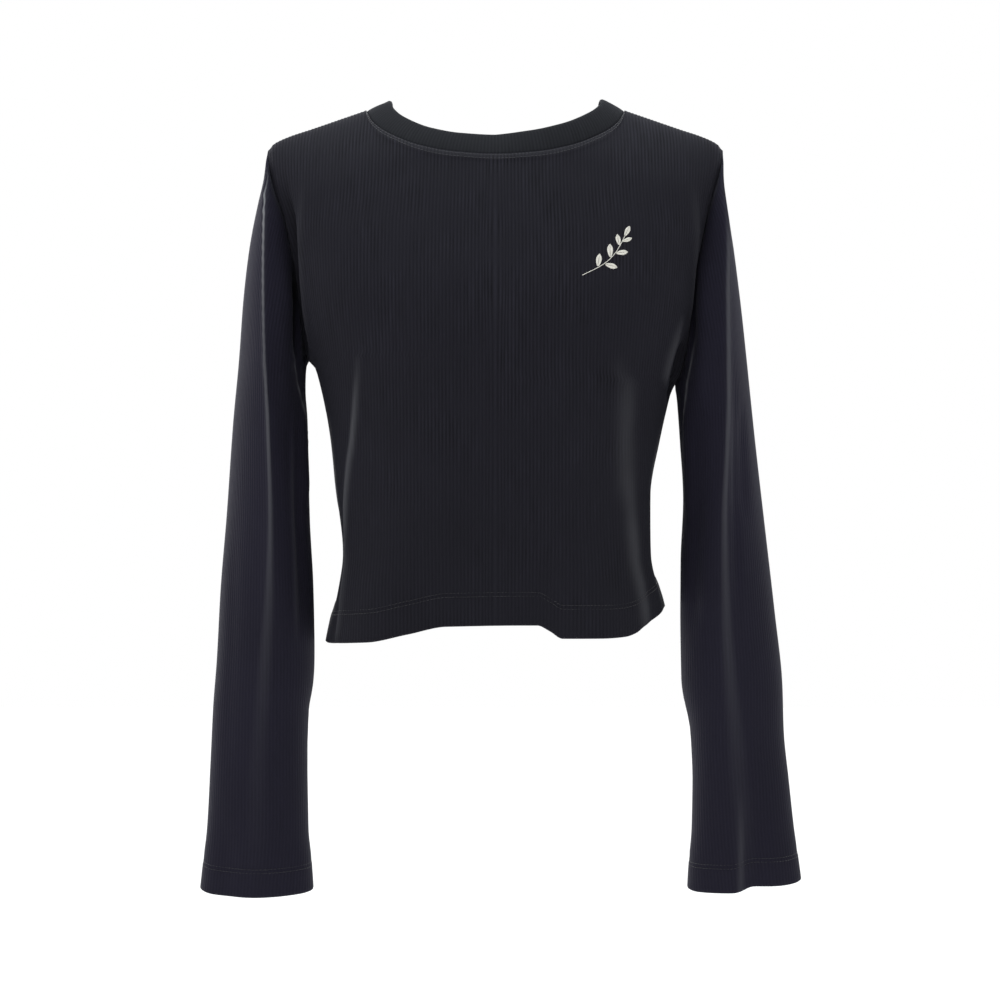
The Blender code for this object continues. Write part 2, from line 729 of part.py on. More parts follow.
def cloth_material(name, colour):
    material = bpy.data.materials.new(name)
    material.use_nodes = True
    shader = material.node_tree.nodes["Principled BSDF"]
    shader.inputs["Base Color"].default_value = (*colour, 1)
    shader.inputs["Roughness"].default_value = 0.85
    shader.inputs["Metallic"].default_value = 0
    material.diffuse_color = (*colour, 1)
    return material


def add_piece(name, points, faces, colour, collection):
    mesh = bpy.data.meshes.new(name)
    mesh.from_pydata(points.tolist(), [], faces)
    mesh.materials.append(cloth_material(name + "_cloth", colour))
    mesh.shade_smooth()
    mesh.set_sharp_from_angle(angle=np.radians(RIM_ANGLE))
    piece = bpy.data.objects.new(name, mesh)
    collection.objects.link(piece)
    return piece


def wall_thickness(name, rows, columns):
    """Thickness of a wall at its points: the neckband is double, and other pieces are turned up below."""
    if name == "neckband":
        return np.full((rows, columns), BAND_WALL)
    thickness = np.full((rows, columns), WALL)
    thickness[:2] = TURNED_WALL
    return thickness


def main():
    for old in list(bpy.data.objects):
        bpy.data.objects.remove(old)
    collection = bpy.data.collections.new("long_sleeved_t_shirt")
    bpy.context.scene.collection.children.link(collection)

    front, back = panel_grid(FRONT), panel_grid(BACK)
    grids = {
        "front_panel": (front, False),
        "back_panel": (back, False),
        "right_sleeve": (sleeve_grid(WEARERS_RIGHT), True),
        "left_sleeve": (sleeve_grid(WEARERS_LEFT), True),
        "neckband": (neckband_grid(front, back), True),
    }
    sewn = {
        "front_panel": ("top", "first", "last"),
        "back_panel": ("top", "first", "last"),
        "right_sleeve": ("top",),
        "left_sleeve": ("top",),
        "neckband": ("bottom",),
    }
    colours = {
        "front_panel": BODY_COLOUR,
        "back_panel": BODY_COLOUR,
        "right_sleeve": SLEEVE_COLOUR,
        "left_sleeve": SLEEVE_COLOUR,
        "neckband": BAND_COLOUR,
    }
    directions = shared_directions(grids)
    for name, (grid, closed) in grids.items():
        thickness = wall_thickness(name, *grid.shape[:2])
        points, faces = cloth_wall(grid, directions[name], thickness, closed, sewn[name])
        add_piece(name, points, faces, colours[name], collection)


main()
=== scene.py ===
# %% [markdown]
# # A cropped, long-sleeved t-shirt in fine rib knit
#
# The garment hangs filled out as if someone wore it, with nothing inside it. Five sewn pieces make it: a
# front, a back, two sleeves and a neckband. This lesson loads the plain solids of those five pieces, and puts
# a finely ribbed, creased and stitched cloth on the same form. The wearer faces -Y, and the wearer's left
# is +X.

import json

import bpy
import numpy as np
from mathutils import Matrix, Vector
from mathutils.bvhtree import BVHTree


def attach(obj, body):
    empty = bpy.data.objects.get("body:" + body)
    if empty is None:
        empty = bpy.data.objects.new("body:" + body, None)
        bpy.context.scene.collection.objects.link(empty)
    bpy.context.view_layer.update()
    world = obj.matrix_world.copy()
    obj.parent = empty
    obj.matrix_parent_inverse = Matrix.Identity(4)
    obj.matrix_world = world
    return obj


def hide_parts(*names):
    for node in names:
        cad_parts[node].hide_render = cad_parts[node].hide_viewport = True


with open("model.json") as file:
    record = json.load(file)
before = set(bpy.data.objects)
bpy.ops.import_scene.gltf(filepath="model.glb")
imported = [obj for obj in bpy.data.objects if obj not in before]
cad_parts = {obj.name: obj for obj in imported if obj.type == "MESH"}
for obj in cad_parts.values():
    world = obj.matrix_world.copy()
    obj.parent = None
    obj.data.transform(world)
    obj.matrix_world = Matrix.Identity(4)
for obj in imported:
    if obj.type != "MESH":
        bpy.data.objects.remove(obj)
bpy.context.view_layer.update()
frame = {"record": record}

# %% [markdown]
# ## Sizes
#
# A sewn garment is a few lengths that a maker would write on the pattern, and a few short tables for how it
# hangs. The tables below hold the form: each row is a height, and the columns say how wide and deep the
# filled cloth stands there. Everything later is worked out from them, so that one number changed here moves a
# fold, its ribs and its stitches together.

# %% Lengths from the pattern
MM = 0.001

NECK_HALF_WIDTH = 105 * MM
SHOULDER_HALF_WIDTH = 184.8 * MM
SHOULDER_DROP = 32 * MM
HEM_DEPTH = 25 * MM
CUFF_DEPTH = 22 * MM
BAND_WIDTH = 21 * MM
RIB = 2.83 * MM  # from one rib to the next

SHOULDER_ROUND = 62 * MM  # height over which front and back turn over the shoulder
UNDERARM_ROUND = 58 * MM  # height over which the armhole closes to the underarm
EDGE_REACH = 8  # how close to its edge a panel follows the edge and not the form
NECK_SHARE = 0.562  # share of a panel's half-width from its middle to the end of its shoulder seam
NECK_RISE = 42 * MM  # how far the shoulder lines would climb to meet over the neck
NECK_HALF_DEPTH = 66 * MM
BAND_LEAN = {"side": 74, "front": 38, "back": 24}  # degrees off upright: it lies along the shoulders
LEAN_POWER = 0.8
LEFT_STANDS_UP = 14  # degrees by which the band stands more upright at the wearer's front left
SECTION_STEPS = 64

FRONT, BACK = -1, 1
WEARERS_RIGHT, WEARERS_LEFT = -1, 1
PLAIN_COLUMNS = ("share", "roundness", "fold", "across", "across_top", "across_bottom", "worn", "turn")


def table(names, *rows):
    """A short table as named columns. Lengths are given in millimetres and kept in metres."""
    columns = dict(zip(names.split(), np.array(rows, float).T))
    return {name: column if name in PLAIN_COLUMNS else column * MM for name, column in columns.items()}


print("ribs round the bust:", round(800 * MM / RIB))

# %% The form of the body, the armholes, the neck and the hem
# The form from the hem to the neck: its half-width on each side, its depth in front of and behind the side
# seams, and how square it is.
FORM = table(
    "height right left front back roundness",
    (-432, 136, 136, 101, 92, 2.7),
    (-400, 128.5, 132.5, 98, 88, 2.8),
    (-360, 121, 124, 97, 84, 2.8),
    (-310, 127, 124.5, 100, 85, 2.65),
    (-260, 133, 132.5, 106, 88, 2.5),
    (-225, 141, 141, 111, 91.5, 2.45),
    (-190, 150, 149.5, 112, 94.5, 2.6),
    (-150, 158, 158, 107, 95, 2.85),
    (-110, 164.5, 164.5, 95, 90, 2.85),
    (-75, 172, 172, 81, 81, 2.6),
    (-45, 180, 180, 66, 68, 2.4),
    (-20, 184, 184, 54, 58, 2.4),
    (0, 184, 184, 48, 52, 2.4),
)

# The edge of both panels on each side: the side seam up to the underarm, and the armhole above it.
EDGE = {
    WEARERS_RIGHT: table(
        "height out",
        (-432, 138),
        (-407, 132.5),
        (-388, 124.8),
        (-368, 121),
        (-348, 122.3),
        (-309, 129),
        (-270, 133),
        (-235, 138.6),
        (-218, 142.5),
        (-209, 145.5),
        (-203, 151.5),
        (-196, 153.5),
        (-180, 155.5),
        (-150, 158.5),
        (-125, 162),
        (-108, 166),
        (-90, 169.5),
        (-70, 176),
        (-52, 180.5),
        (-32, 183.5),
    ),
    WEARERS_LEFT: table(
        "height out",
        (-432, 140),
        (-407, 138.5),
        (-388, 133.5),
        (-368, 125.8),
        (-348, 123.3),
        (-309, 125),
        (-270, 132.5),
        (-243, 138.5),
        (-230, 141.8),
        (-222, 145.8),
        (-213, 150),
        (-202, 152.5),
        (-184, 155.5),
        (-150, 158.5),
        (-125, 162),
        (-108, 166),
        (-90, 169.5),
        (-70, 174),
        (-52, 179),
        (-32, 183),
    ),
}
UNDERARM = {WEARERS_RIGHT: -203 * MM, WEARERS_LEFT: -222 * MM}
ARMHOLE_DEPTH = {FRONT: 26 * MM, BACK: 32 * MM}

# Height of the neck seam, from the middle of the neck (0) to the shoulder seam (1).
NECK_SEAM = {
    FRONT: table(
        "share height",
        (-0.3, -40),
        (0, -42),
        (0.3, -40),
        (0.56, -34.5),
        (0.8, -23.5),
        (0.94, -12),
        (1, 0),
    ),
    BACK: table(
        "share height",
        (-0.35, -31),
        (0, -32),
        (0.35, -31),
        (0.62, -27.5),
        (0.84, -19),
        (0.95, -9.5),
        (1, 0),
    ),
}
# Height along the shoulder seam, from the neck seam (0) to the armhole (1).
SHOULDER_SEAM = table("share height", (0, 0), (0.22, -6), (0.55, -15), (0.78, -21), (0.93, -26.5), (1, -32))

# Height of the hem across each panel, from the wearer's right (-1) to the wearer's left (1).
HEM = {
    FRONT: table(
        "across height",
        (-1, -430),
        (-0.75, -429),
        (-0.52, -427),
        (-0.36, -420),
        (-0.2, -413.5),
        (0.17, -412.5),
        (0.22, -417),
        (0.27, -423),
        (0.42, -423.5),
        (0.53, -422.5),
        (0.6, -419.5),
        (0.65, -414.5),
        (0.72, -410),
        (0.84, -405.5),
        (1, -401),
    ),
    BACK: table(
        "across height",
        (-1, -430),
        (-0.7, -423),
        (-0.4, -416),
        (-0.1, -418),
        (0.25, -413),
        (0.6, -414),
        (1, -401),
    ),
}

print("heights in the form's table:", len(FORM["height"]))

# %% The form of the sleeves and their cuffs
# Sections of each sleeve: how far out its outer line and its front and back folds lie, its depth to front and
# back, and how sharp the folds are.
SLEEVE = {
    WEARERS_RIGHT: table(
        "height outer front_line back_line front back fold",
        (-32, 186, 182.5, 185, 33, 40, 0.2),
        (-56, 188.5, 183, 186, 34, 41, 0.4),
        (-75, 192.3, 185, 187, 38, 44, 0.5),
        (-114, 199.6, 185, 188, 46, 50, 0.6),
        (-153, 204.2, 184.5, 189, 53, 56, 0.75),
        (-204, 208, 183, 189, 59, 60, 0.85),
        (-251, 212.5, 180.5, 190, 60, 61, 0.85),
        (-329, 218, 178.5, 192, 56, 58, 0.75),
        (-387, 222.8, 180, 193, 50, 54, 0.55),
        (-446, 226, 184, 192, 44, 49, 0.35),
        (-485, 229, 187, 192, 40, 44, 0.25),
        (-524, 230.8, 190, 192, 37, 39, 0.2),
        (-582, 233.8, 192, 192, 33, 34, 0.12),
        (-612, 237.4, 193, 193, 31, 31, 0.08),
        (-640, 240.5, 194, 194, 30, 30, 0.05),
    ),
    WEARERS_LEFT: table(
        "height outer front_line back_line front back fold",
        (-32, 184, 181.5, 184, 33, 40, 0.2),
        (-56, 184.6, 181.8, 184.5, 34, 41, 0.4),
        (-75, 186.8, 183.5, 186, 38, 44, 0.5),
        (-96, 189.6, 185.5, 187, 42.5, 47.5, 0.55),
        (-114, 192.6, 186, 187, 46, 50, 0.6),
        (-153, 198, 185, 188, 53, 56, 0.75),
        (-204, 203.6, 185, 188, 59, 60, 0.85),
        (-231, 206.4, 185, 189, 60, 61, 0.85),
        (-270, 210.6, 184, 190, 60, 61, 0.85),
        (-329, 217.4, 182, 192, 56, 58, 0.75),
        (-407, 226.4, 184, 194, 48, 53, 0.5),
        (-465, 232.6, 188, 195, 43, 47, 0.3),
        (-504, 233.8, 192, 197, 39, 42, 0.22),
        (-543, 237.8, 195, 198, 36, 38, 0.16),
        (-582, 242, 199, 200, 33, 34, 0.1),
        (-612, 246.4, 201, 201, 31, 31, 0.06),
        (-640, 250, 202, 202, 30, 30, 0.05),
    ),
}
# How far out each sleeve's inner line lies, from the underarm down.
INNER_LINE = {
    WEARERS_RIGHT: table(
        "height out",
        (-203, 151.5),
        (-208, 154.2),
        (-225, 154.8),
        (-251, 153.2),
        (-329, 151.6),
        (-387, 148.6),
        (-446, 147.4),
        (-464, 148.4),
        (-487, 152),
        (-524, 153.2),
        (-582, 152.4),
        (-612, 149.4),
        (-640, 147.6),
    ),
    WEARERS_LEFT: table(
        "height out",
        (-222, 145.8),
        (-230, 147.4),
        (-243, 148.6),
        (-270, 150.4),
        (-316, 153),
        (-365, 151),
        (-413, 150.7),
        (-462, 151.4),
        (-504, 158.6),
        (-543, 160.4),
        (-582, 159.8),
        (-612, 157.2),
        (-640, 155.4),
    ),
}

# Height of the cuff's edge round each sleeve, from its outer line (0) to its inner line (1).
CUFF = {
    (WEARERS_RIGHT, FRONT): table(
        "share height",
        (0, -630),
        (0.2, -633),
        (0.5, -634.5),
        (0.8, -633),
        (1, -631),
    ),
    (WEARERS_RIGHT, BACK): table("share height", (0, -630), (0.5, -628), (1, -631)),
    (WEARERS_LEFT, FRONT): table(
        "share height",
        (0, -623),
        (0.25, -625.5),
        (0.45, -626),
        (0.6, -631),
        (0.85, -631.5),
        (1, -630),
    ),
    (WEARERS_LEFT, BACK): table("share height", (0, -623), (0.5, -626), (1, -630)),
}

print("heights in a sleeve's table:", len(SLEEVE[WEARERS_LEFT]["height"]))

# %% [markdown]
# ## Slack folds
#
# Soft cloth that is filled out and not stretched keeps a few slack folds: ridges that run down from the bust
# to the hem, flutes in the hem, and folds where the sleeve turns under the arm. A cloth simulation would make
# some folds, but not these, so each is given one by one: where it starts and ends, how wide it is, and how
# far it stands out or sinks in. No two are alike.

# %% Folds of the body
FOLD_COLUMNS = "top bottom across_top across_bottom width push"
# The last column of a crease is its painted light: above nothing a painted highlight, below nothing painted
# shade.
CREASE_COLUMNS = FOLD_COLUMNS + " worn"

# Slack folds of the body: between which heights each runs, where it lies on the half-width at its two ends,
# how wide it is, and how far it stands out.
BODY_FOLDS = {
    FRONT: table(
        FOLD_COLUMNS,
        (-210, -420, -0.66, -0.78, 22, 3.5),
        (-215, -420, 0.64, 0.76, 24, 3.5),
        (-330, -470, 0.38, 0.41, 26, 6),
        (-330, -470, 0.18, 0.21, 24, -5),
        (-340, -470, -0.2, -0.18, 40, -4),
        (-340, -470, -0.52, -0.56, 30, 4),
    ),
    BACK: table(
        FOLD_COLUMNS,
        (-215, -420, -0.6, -0.74, 26, 3.5),
        (-205, -420, 0.62, 0.72, 24, 3.5),
        (-290, -470, -0.28, -0.33, 32, 5),
        (-310, -470, -0.06, -0.04, 26, -4),
        (-300, -470, 0.25, 0.3, 30, 4.5),
    ),
}

# %% Folds of the sleeves
# Soft folds round each sleeve, as those of the body, placed by the share from the outer to the inner line.
SLEEVE_FOLDS = {
    (WEARERS_RIGHT, FRONT): table(
        FOLD_COLUMNS,
        (-90, -270, 0.53, 0.71, 11, 4),
        (-210, -330, 0.8, 0.86, 9, 3),
        (-260, -420, 0.72, 0.8, 10, -3),
        (-560, -680, 0.28, 0.33, 14, -2.5),
    ),
    (WEARERS_RIGHT, BACK): table(
        FOLD_COLUMNS,
        (-230, -420, 0.72, 0.82, 12, -3),
        (-500, -680, 0.38, 0.42, 16, -3),
    ),
    (WEARERS_LEFT, FRONT): table(
        FOLD_COLUMNS,
        (-95, -260, 0.52, 0.7, 11, 3.5),
        (-225, -340, 0.32, 0.36, 9, -2.5),
        (-215, -340, 0.78, 0.84, 9, 3),
        (-280, -430, 0.7, 0.78, 10, -3),
        (-540, -680, 0.4, 0.47, 12, -4.5),
    ),
    (WEARERS_LEFT, BACK): table(
        FOLD_COLUMNS,
        (-240, -440, 0.7, 0.8, 12, -3),
        (-520, -680, 0.33, 0.38, 16, -3),
    ),
}

print("folds placed:", sum(len(rows["top"]) for rows in [*BODY_FOLDS.values(), *SLEEVE_FOLDS.values()]))

# %% [markdown]
# ## Fine creases
#
# Where the cloth is bent sharply it shows a fine crease: down the sides of the body, beside the armholes and
# under the arms. A crease's ridge is painted lighter than the cloth beside it, a painted highlight where it
# catches the light from the sides, and the last column says how much. Where that column is less than nothing,
# the gully is painted darker instead, as painted shade. No crease is straight or even, so each also fades
# towards its ends.
#
# The fold down the front of an empty sleeve is sharper than the ribs are wide. The mesh only holds a soft
# ridge there, and each point's distance from the fold. From that distance the cloth's finish paints a thin
# highlight where the sharp fold catches the light.

# %% Fine creases, and the sharp front and back folds of the sleeves
BODY_CREASES = {
    FRONT: table(
        CREASE_COLUMNS,
        (-55, -205, -0.815, -0.9, 5, 2.5, 0.15),
        (-50, -207, -0.91, -0.965, 8, -8, -0.14),
        (-190, -370, -0.505, -0.77, 2.8, 1.8, 0.75),
        (-340, -440, -0.73, -0.7, 4, 1.5, 0.3),
        (-55, -190, 0.84, 1, 6, 1.5, 0.2),
        (-165, -228, 0.87, 0.77, 6, 2, 0.45),
        (-180, -238, 0.94, 0.88, 8, -6, -0.11),
        (-195, -330, 0.5, 0.6, 8, 1.4, 0.3),
        (-285, -440, 0.585, 0.67, 6, 1.6, 0.45),
        (-240, -470, -0.97, -0.97, 3.5, 0.5, 0.5),
        (-240, -470, 0.965, 0.97, 3.5, 0.5, 0.5),
        (-250, -330, -0.7, -0.3, 12, -0.8, 0),
        (-235, -300, 0.72, 0.4, 12, -0.8, 0),
    ),
    BACK: table(
        CREASE_COLUMNS,
        (-190, -440, -0.5, -0.76, 6, 1.4, 0.35),
        (-205, -430, 0.52, 0.7, 7, 1.4, 0.35),
        (-60, -215, -0.81, -0.92, 6, 1.8, 0.2),
        (-55, -210, -0.92, -0.97, 8, -5, 0),
        (-60, -220, 0.81, 0.92, 6, 1.8, 0.2),
        (-55, -215, 0.92, 0.97, 8, -5, 0),
        (-265, -400, -0.2, -0.12, 7, 0.9, 0.1),
    ),
}
SLEEVE_CREASES = {
    (WEARERS_RIGHT, FRONT): table(
        CREASE_COLUMNS,
        (-175, -290, 0.66, 0.93, 1.3, 0.7, 1.8),
        (-82, -215, 0.6, 0.76, 5, -4.5, -0.2),
        (-60, -330, 0.53, 0.72, 12, 0, -0.06),
        (-120, -215, 0.79, 0.9, 5.5, -3.5, -0.2),
        (-204, -460, 0.985, 0.985, 2.2, 0.3, 0.5),
        (-230, -440, 0.69, 0.72, 3, 0.9, 0.25),
        (-300, -560, 0.2, 0.3, 9, -0.8, 0),
    ),
    (WEARERS_RIGHT, BACK): table(
        CREASE_COLUMNS,
        (-190, -330, 0.7, 0.88, 2.5, 0.8, 0.3),
        (-260, -430, 0.3, 0.24, 7, -0.9, 0),
    ),
    (WEARERS_LEFT, FRONT): table(
        CREASE_COLUMNS,
        (-170, -290, 0.66, 0.92, 1.3, 0.7, 1.8),
        (-222, -460, 0.985, 0.985, 2.2, 0.3, 0.5),
        (-175, -310, 0.8, 0.9, 2.5, -1, 0),
        (-82, -215, 0.6, 0.72, 6, -2.5, -0.12),
        (-130, -215, 0.79, 0.88, 6, -2, -0.12),
        (-200, -420, 0.4, 0.44, 5, -1.6, 0),
        (-540, -690, 0.52, 0.56, 3, 0.8, 0.3),
    ),
    (WEARERS_LEFT, BACK): table(
        CREASE_COLUMNS,
        (-180, -340, 0.72, 0.86, 2.5, 0.8, 0.3),
        (-330, -520, 0.36, 0.3, 8, -0.9, 0),
    ),
}
# The sharp folds down a sleeve's front and back, from the cuff up: how wide each is, and how strongly a
# painted highlight is drawn along it.
SHARP_FOLD = {
    WEARERS_RIGHT: table(
        "height width worn",
        (-640, 9, 0),
        (-500, 6, 0.1),
        (-415, 4, 0.25),
        (-350, 2, 0.5),
        (-300, 1.3, 0.7),
        (-240, 0.9, 1),
        (-195, 0.8, 1.1),
        (-160, 0.8, 1.6),
        (-110, 0.8, 2.5),
        (-78, 0.8, 3.5),
        (-60, 0.8, 1),
        (-50, 0.8, 0),
    ),
    WEARERS_LEFT: table(
        "height width worn",
        (-640, 9, 0),
        (-500, 6, 0.15),
        (-350, 2.5, 0.4),
        (-230, 1.5, 0.7),
        (-120, 1.5, 0.8),
        (-85, 1.5, 0.2),
        (-40, 2, 0),
    ),
}
SHARP_FOLD_STANDS = 0.8 * MM
FOLD_SOFT = 2.5  # how many times wider than its painted highlight line a sharp fold's ridge is
FOLD_HALO = 0.1  # how much painted highlight the cloth beside the line takes, against the line
BACK_FOLD_SHARE = 0.6  # how strong the back fold's painted highlight is, against the front one's

print("creases placed:", sum(len(rows["top"]) for rows in [*BODY_CREASES.values(), *SLEEVE_CREASES.values()]))

# %% [markdown]
# ## Reading the tables
#
# Between two rows of a table the form has to run on smoothly, without waves that nobody asked for. The curve
# here passes through every row and never overshoots between two of them.

# %% A smooth curve through the rows of a table
def smooth(at, knots, values):
    """The value on a smooth curve through the knots, which never overshoots between two of them."""
    steps = np.diff(knots)
    slopes = np.diff(values) / steps
    pairs = slopes[:-1] * slopes[1:]
    inner = np.where(pairs > 0, 2 * pairs / np.where(pairs > 0, slopes[:-1] + slopes[1:], 1), 0)
    tangents = np.concatenate([slopes[:1], inner, slopes[-1:]])
    at = np.clip(at, knots[0], knots[-1])
    piece = np.clip(np.searchsorted(knots, at, side="right") - 1, 0, len(steps) - 1)
    step = steps[piece]
    t = (at - knots[piece]) / step
    start, end = values[piece], values[piece + 1]
    leaving, arriving = tangents[piece] * step, tangents[piece + 1] * step
    return (
        start * (1 + 2 * t) * (1 - t) ** 2
        + leaving * t * (1 - t) ** 2
        + end * t**2 * (3 - 2 * t)
        + arriving * t**2 * (t - 1)
    )


def look_up(rows, name, at):
    """A named column of a table, read along its first column."""
    knots = next(iter(rows.values()))
    return smooth(at, knots, rows[name]) if knots[0] < knots[-1] else smooth(-at, -knots, rows[name])


def quarter_round(share):
    """The rise of a quarter of a circle, from 0 to 1."""
    return np.sqrt(1 - (1 - np.clip(share, 0, 1)) ** 2)


def ease(share):
    """A soft step from 0 to 1."""
    share = np.clip(share, 0, 1)
    return share * share * (3 - 2 * share)


print("half-width at the waist, mm:", round(float(look_up(FORM, "left", np.array([-0.36]))[0]) / MM, 1))

# %% [markdown]
# ## The body's form
#
# A section through the body is a superellipse: rounder than a box, fuller than an oval. It is measured along
# the cloth, because a knitted rib keeps its distance from the next one along the cloth and not across the
# picture. Near the top the section closes over the shoulder line.

# %% Sections of the body
def along(curve_x, curve_y, share):
    """For rows of points along curves, which place along them lies at each share of their length."""
    lengths = np.hypot(np.diff(curve_x, axis=1), np.diff(curve_y, axis=1))
    run = np.concatenate([np.zeros((len(share), 1)), np.cumsum(lengths, axis=1)], axis=1)
    wanted = share * run[:, -1]
    after = np.clip((run < wanted[:, None]).sum(axis=1), 1, run.shape[1] - 1)[:, None]
    low = np.take_along_axis(run, after - 1, axis=1)[:, 0]
    high = np.take_along_axis(run, after, axis=1)[:, 0]
    return (after[:, 0] - 1 + (wanted - low) / (high - low)) / (run.shape[1] - 1)


def quarter_section(share, edge_out, edge_depth, depth, roundness):
    """How far out and how deep the form lies at a share of its cloth from its middle to the panel's edge."""
    power = 2 / roundness
    half_width = edge_out / (1 - (edge_depth / depth) ** roundness) ** (1 / roundness)
    last_turn = np.arcsin((edge_out / half_width) ** (1 / power))

    def point(turn):
        return half_width * np.sin(turn) ** power, depth * np.cos(turn) ** power

    half_width, depth, power = half_width[:, None], depth[:, None], power[:, None]
    place = along(*point(last_turn[:, None] * np.linspace(0, 1, SECTION_STEPS)), share)
    out, deep = point(last_turn[:, None] * place[:, None])
    return out[:, 0], deep[:, 0]


def armhole_depth(face, side, height):
    """How far an armhole's edge lies to the front or back of the shoulder seam, before it is rounded."""
    return ARMHOLE_DEPTH[face] * quarter_round((height - UNDERARM[side]) / UNDERARM_ROUND)


def shoulder_height(share):
    """Height of the shoulder line over a share of a panel's half-width, as it runs on over the neck."""
    over_neck = NECK_RISE * (1 - share / NECK_SHARE)
    on_shoulder = look_up(SHOULDER_SEAM, "height", (share - NECK_SHARE) / (1 - NECK_SHARE))
    return np.where(share < NECK_SHARE, over_neck, on_shoulder)


def seam_out(share):
    """How far out the shoulder line lies over a share of a panel's half-width."""
    over_neck = NECK_HALF_WIDTH * share / NECK_SHARE
    on_shoulder = (share - NECK_SHARE) / (1 - NECK_SHARE)
    on_shoulder = NECK_HALF_WIDTH + (SHOULDER_HALF_WIDTH - NECK_HALF_WIDTH) * on_shoulder
    return np.where(share < NECK_SHARE, over_neck, on_shoulder)


def body_side(face, side, share, height):
    """Points of a panel's half, at shares of its half-width from the middle to its edge."""
    form_out = look_up(FORM, "right" if side == WEARERS_RIGHT else "left", height)
    depth = look_up(FORM, "front" if face == FRONT else "back", height)
    roundness = look_up(FORM, "roundness", height)
    out, deep = quarter_section(share, form_out, armhole_depth(face, side, height), depth, roundness)
    out = out + (look_up(EDGE[side], "out", height) - form_out) * share**EDGE_REACH
    crown = quarter_round((shoulder_height(share) - height) / SHOULDER_ROUND)
    out = out + (seam_out(share) - out) * (1 - crown)
    return np.stack([side * out, face * deep * crown, height], axis=-1)


def body_points(face, across, height):
    """Points of a panel, with across running from -1 at the wearer's right edge to 1 at the left."""
    right = body_side(face, WEARERS_RIGHT, np.abs(across), height)
    left = body_side(face, WEARERS_LEFT, np.abs(across), height)
    return np.where(across[:, None] < 0, right, left)


print("front of the chest, mm:", np.round(body_points(FRONT, np.zeros(1), np.array([-0.2]))[0] / MM, 1))

# %% [markdown]
# ## The sleeves' form
#
# An empty sleeve hangs as a flattened tube: it has a fold down its front and another down its back, which
# start at the shoulder. A level cut through it runs from its outer line over the fold to its inner line.
# Above the underarm it ends at the armhole seam instead, in the valley beside the body.

# %% Sections of a sleeve
def sleeve_section(face, side, height):
    """A sleeve's level section at each height, as a function from 0 at its outer line to 1 at its end.

    The end is the armhole seam above the underarm, and the sleeve's inner line below it.
    """
    shape = {name: look_up(SLEEVE[side], name, height)[:, None] for name in SLEEVE[side] if name != "height"}
    armhole, inner_line = look_up(EDGE[side], "out", height), look_up(INNER_LINE[side], "out", height)
    end = np.where(height > UNDERARM[side], armhole, inner_line)[:, None]
    middle = (shape["front_line"] + shape["back_line"]) / 2
    depth = shape["front" if face == FRONT else "back"]
    offset = shape["front_line" if face == FRONT else "back_line"] - middle
    power = 1 + shape["fold"]
    end_rise = armhole_depth(face, side, height)[:, None] / depth
    last_turn = np.pi - np.arcsin(end_rise)
    inner_reach = (middle + offset * end_rise - end) / np.abs(np.cos(last_turn)) ** power
    crown = quarter_round((-SHOULDER_DROP - height) / SHOULDER_ROUND)[:, None]

    def point(place):
        turn = last_turn * place
        swing = np.cos(turn)
        reach = np.where(swing > 0, shape["outer"] - middle, inner_reach)
        out = middle + offset * np.sin(turn) + reach * np.sign(swing) * np.abs(swing) ** power
        return SHOULDER_HALF_WIDTH + (out - SHOULDER_HALF_WIDTH) * crown, depth * np.sin(turn) * crown

    return point


def section_cloth(face, side, height, part=1):
    """Cloth round a sleeve's section from its outer line to its end, or part of the way, at each height."""
    places = np.linspace(0, 1, SECTION_STEPS) * np.reshape(part, (-1, 1))
    out, deep = sleeve_section(face, side, height)(places)
    return np.hypot(np.diff(out, axis=1), np.diff(deep, axis=1)).sum(axis=1)


def cloth_to_fold(face, side, height):
    """Cloth from a sleeve's outer line to its sharp front or back fold, at each height."""
    depth = look_up(SLEEVE[side], "front" if face == FRONT else "back", height)
    last_turn = np.pi - np.arcsin(armhole_depth(face, side, height) / depth)
    return section_cloth(face, side, height, np.pi / 2 / last_turn)


def sleeve_points(face, side, share, height):
    """Points of a sleeve's outer face. Above the underarm a column keeps its distance from the outer line."""
    point = sleeve_section(face, side, height)
    widest = section_cloth(face, side, np.array([UNDERARM[side]]))
    narrowing = np.where(height > UNDERARM[side], widest / section_cloth(face, side, height), 1)
    out, deep = point(along(*point(np.linspace(0, 1, SECTION_STEPS)[None]), share * narrowing)[:, None])
    return np.stack([side * out[:, 0], face * deep[:, 0], height], axis=-1)


under_arm = section_cloth(FRONT, WEARERS_LEFT, np.array([-250 * MM]))[0]
print("sleeve's half girth under the arm, mm:", round(under_arm / MM))

# %% [markdown]
# ## Cloth with ribs
#
# The ribs are real relief: at this size they catch the light and cast small shadows, and they show on the
# outline. So the sheet of points has its columns along the ribs, four to a rib. A rib keeps its distance from
# its neighbours, and where a piece narrows, the outer ribs run off into the seam as they do when cloth is
# cut. That is done by holding every column that would lie past the seam on the seam itself.

# %% Directions on a sheet of points
RIB_STEPS = 4  # points from one rib to the next
RIB_DEPTH = 0.2 * MM  # half of the way from a rib's crest to the furrow, on the body
SLEEVE_RIB_DEPTH = 0.14 * MM  # the ribs show less on the sleeves
CLOTH = 1.2 * MM  # thickness
TURNED_CLOTH = 2.2 * MM
EDGE_ROUND = 0.9 * MM  # how far a sheet's rounded lower edge bulges
LIT_CREASE_FLAT, FLATTEST = 3, 0.8  # how fast ribs flatten where a crease is painted lighter, and by how much at most
SETTLING_ROUNDS = 6  # a point's height and its place across depend on each other, and settle by turns
SEAM_LIFT = 0.5 * MM  # how far the cloth stands above the sunk line of a seam
SEAM_SOFT = 3.2 * MM  # how far from the seam it has risen


def unit(vectors):
    """Vectors at length 1, except those that have none."""
    return vectors / np.maximum(np.linalg.norm(vectors, axis=-1, keepdims=True), 1e-12)


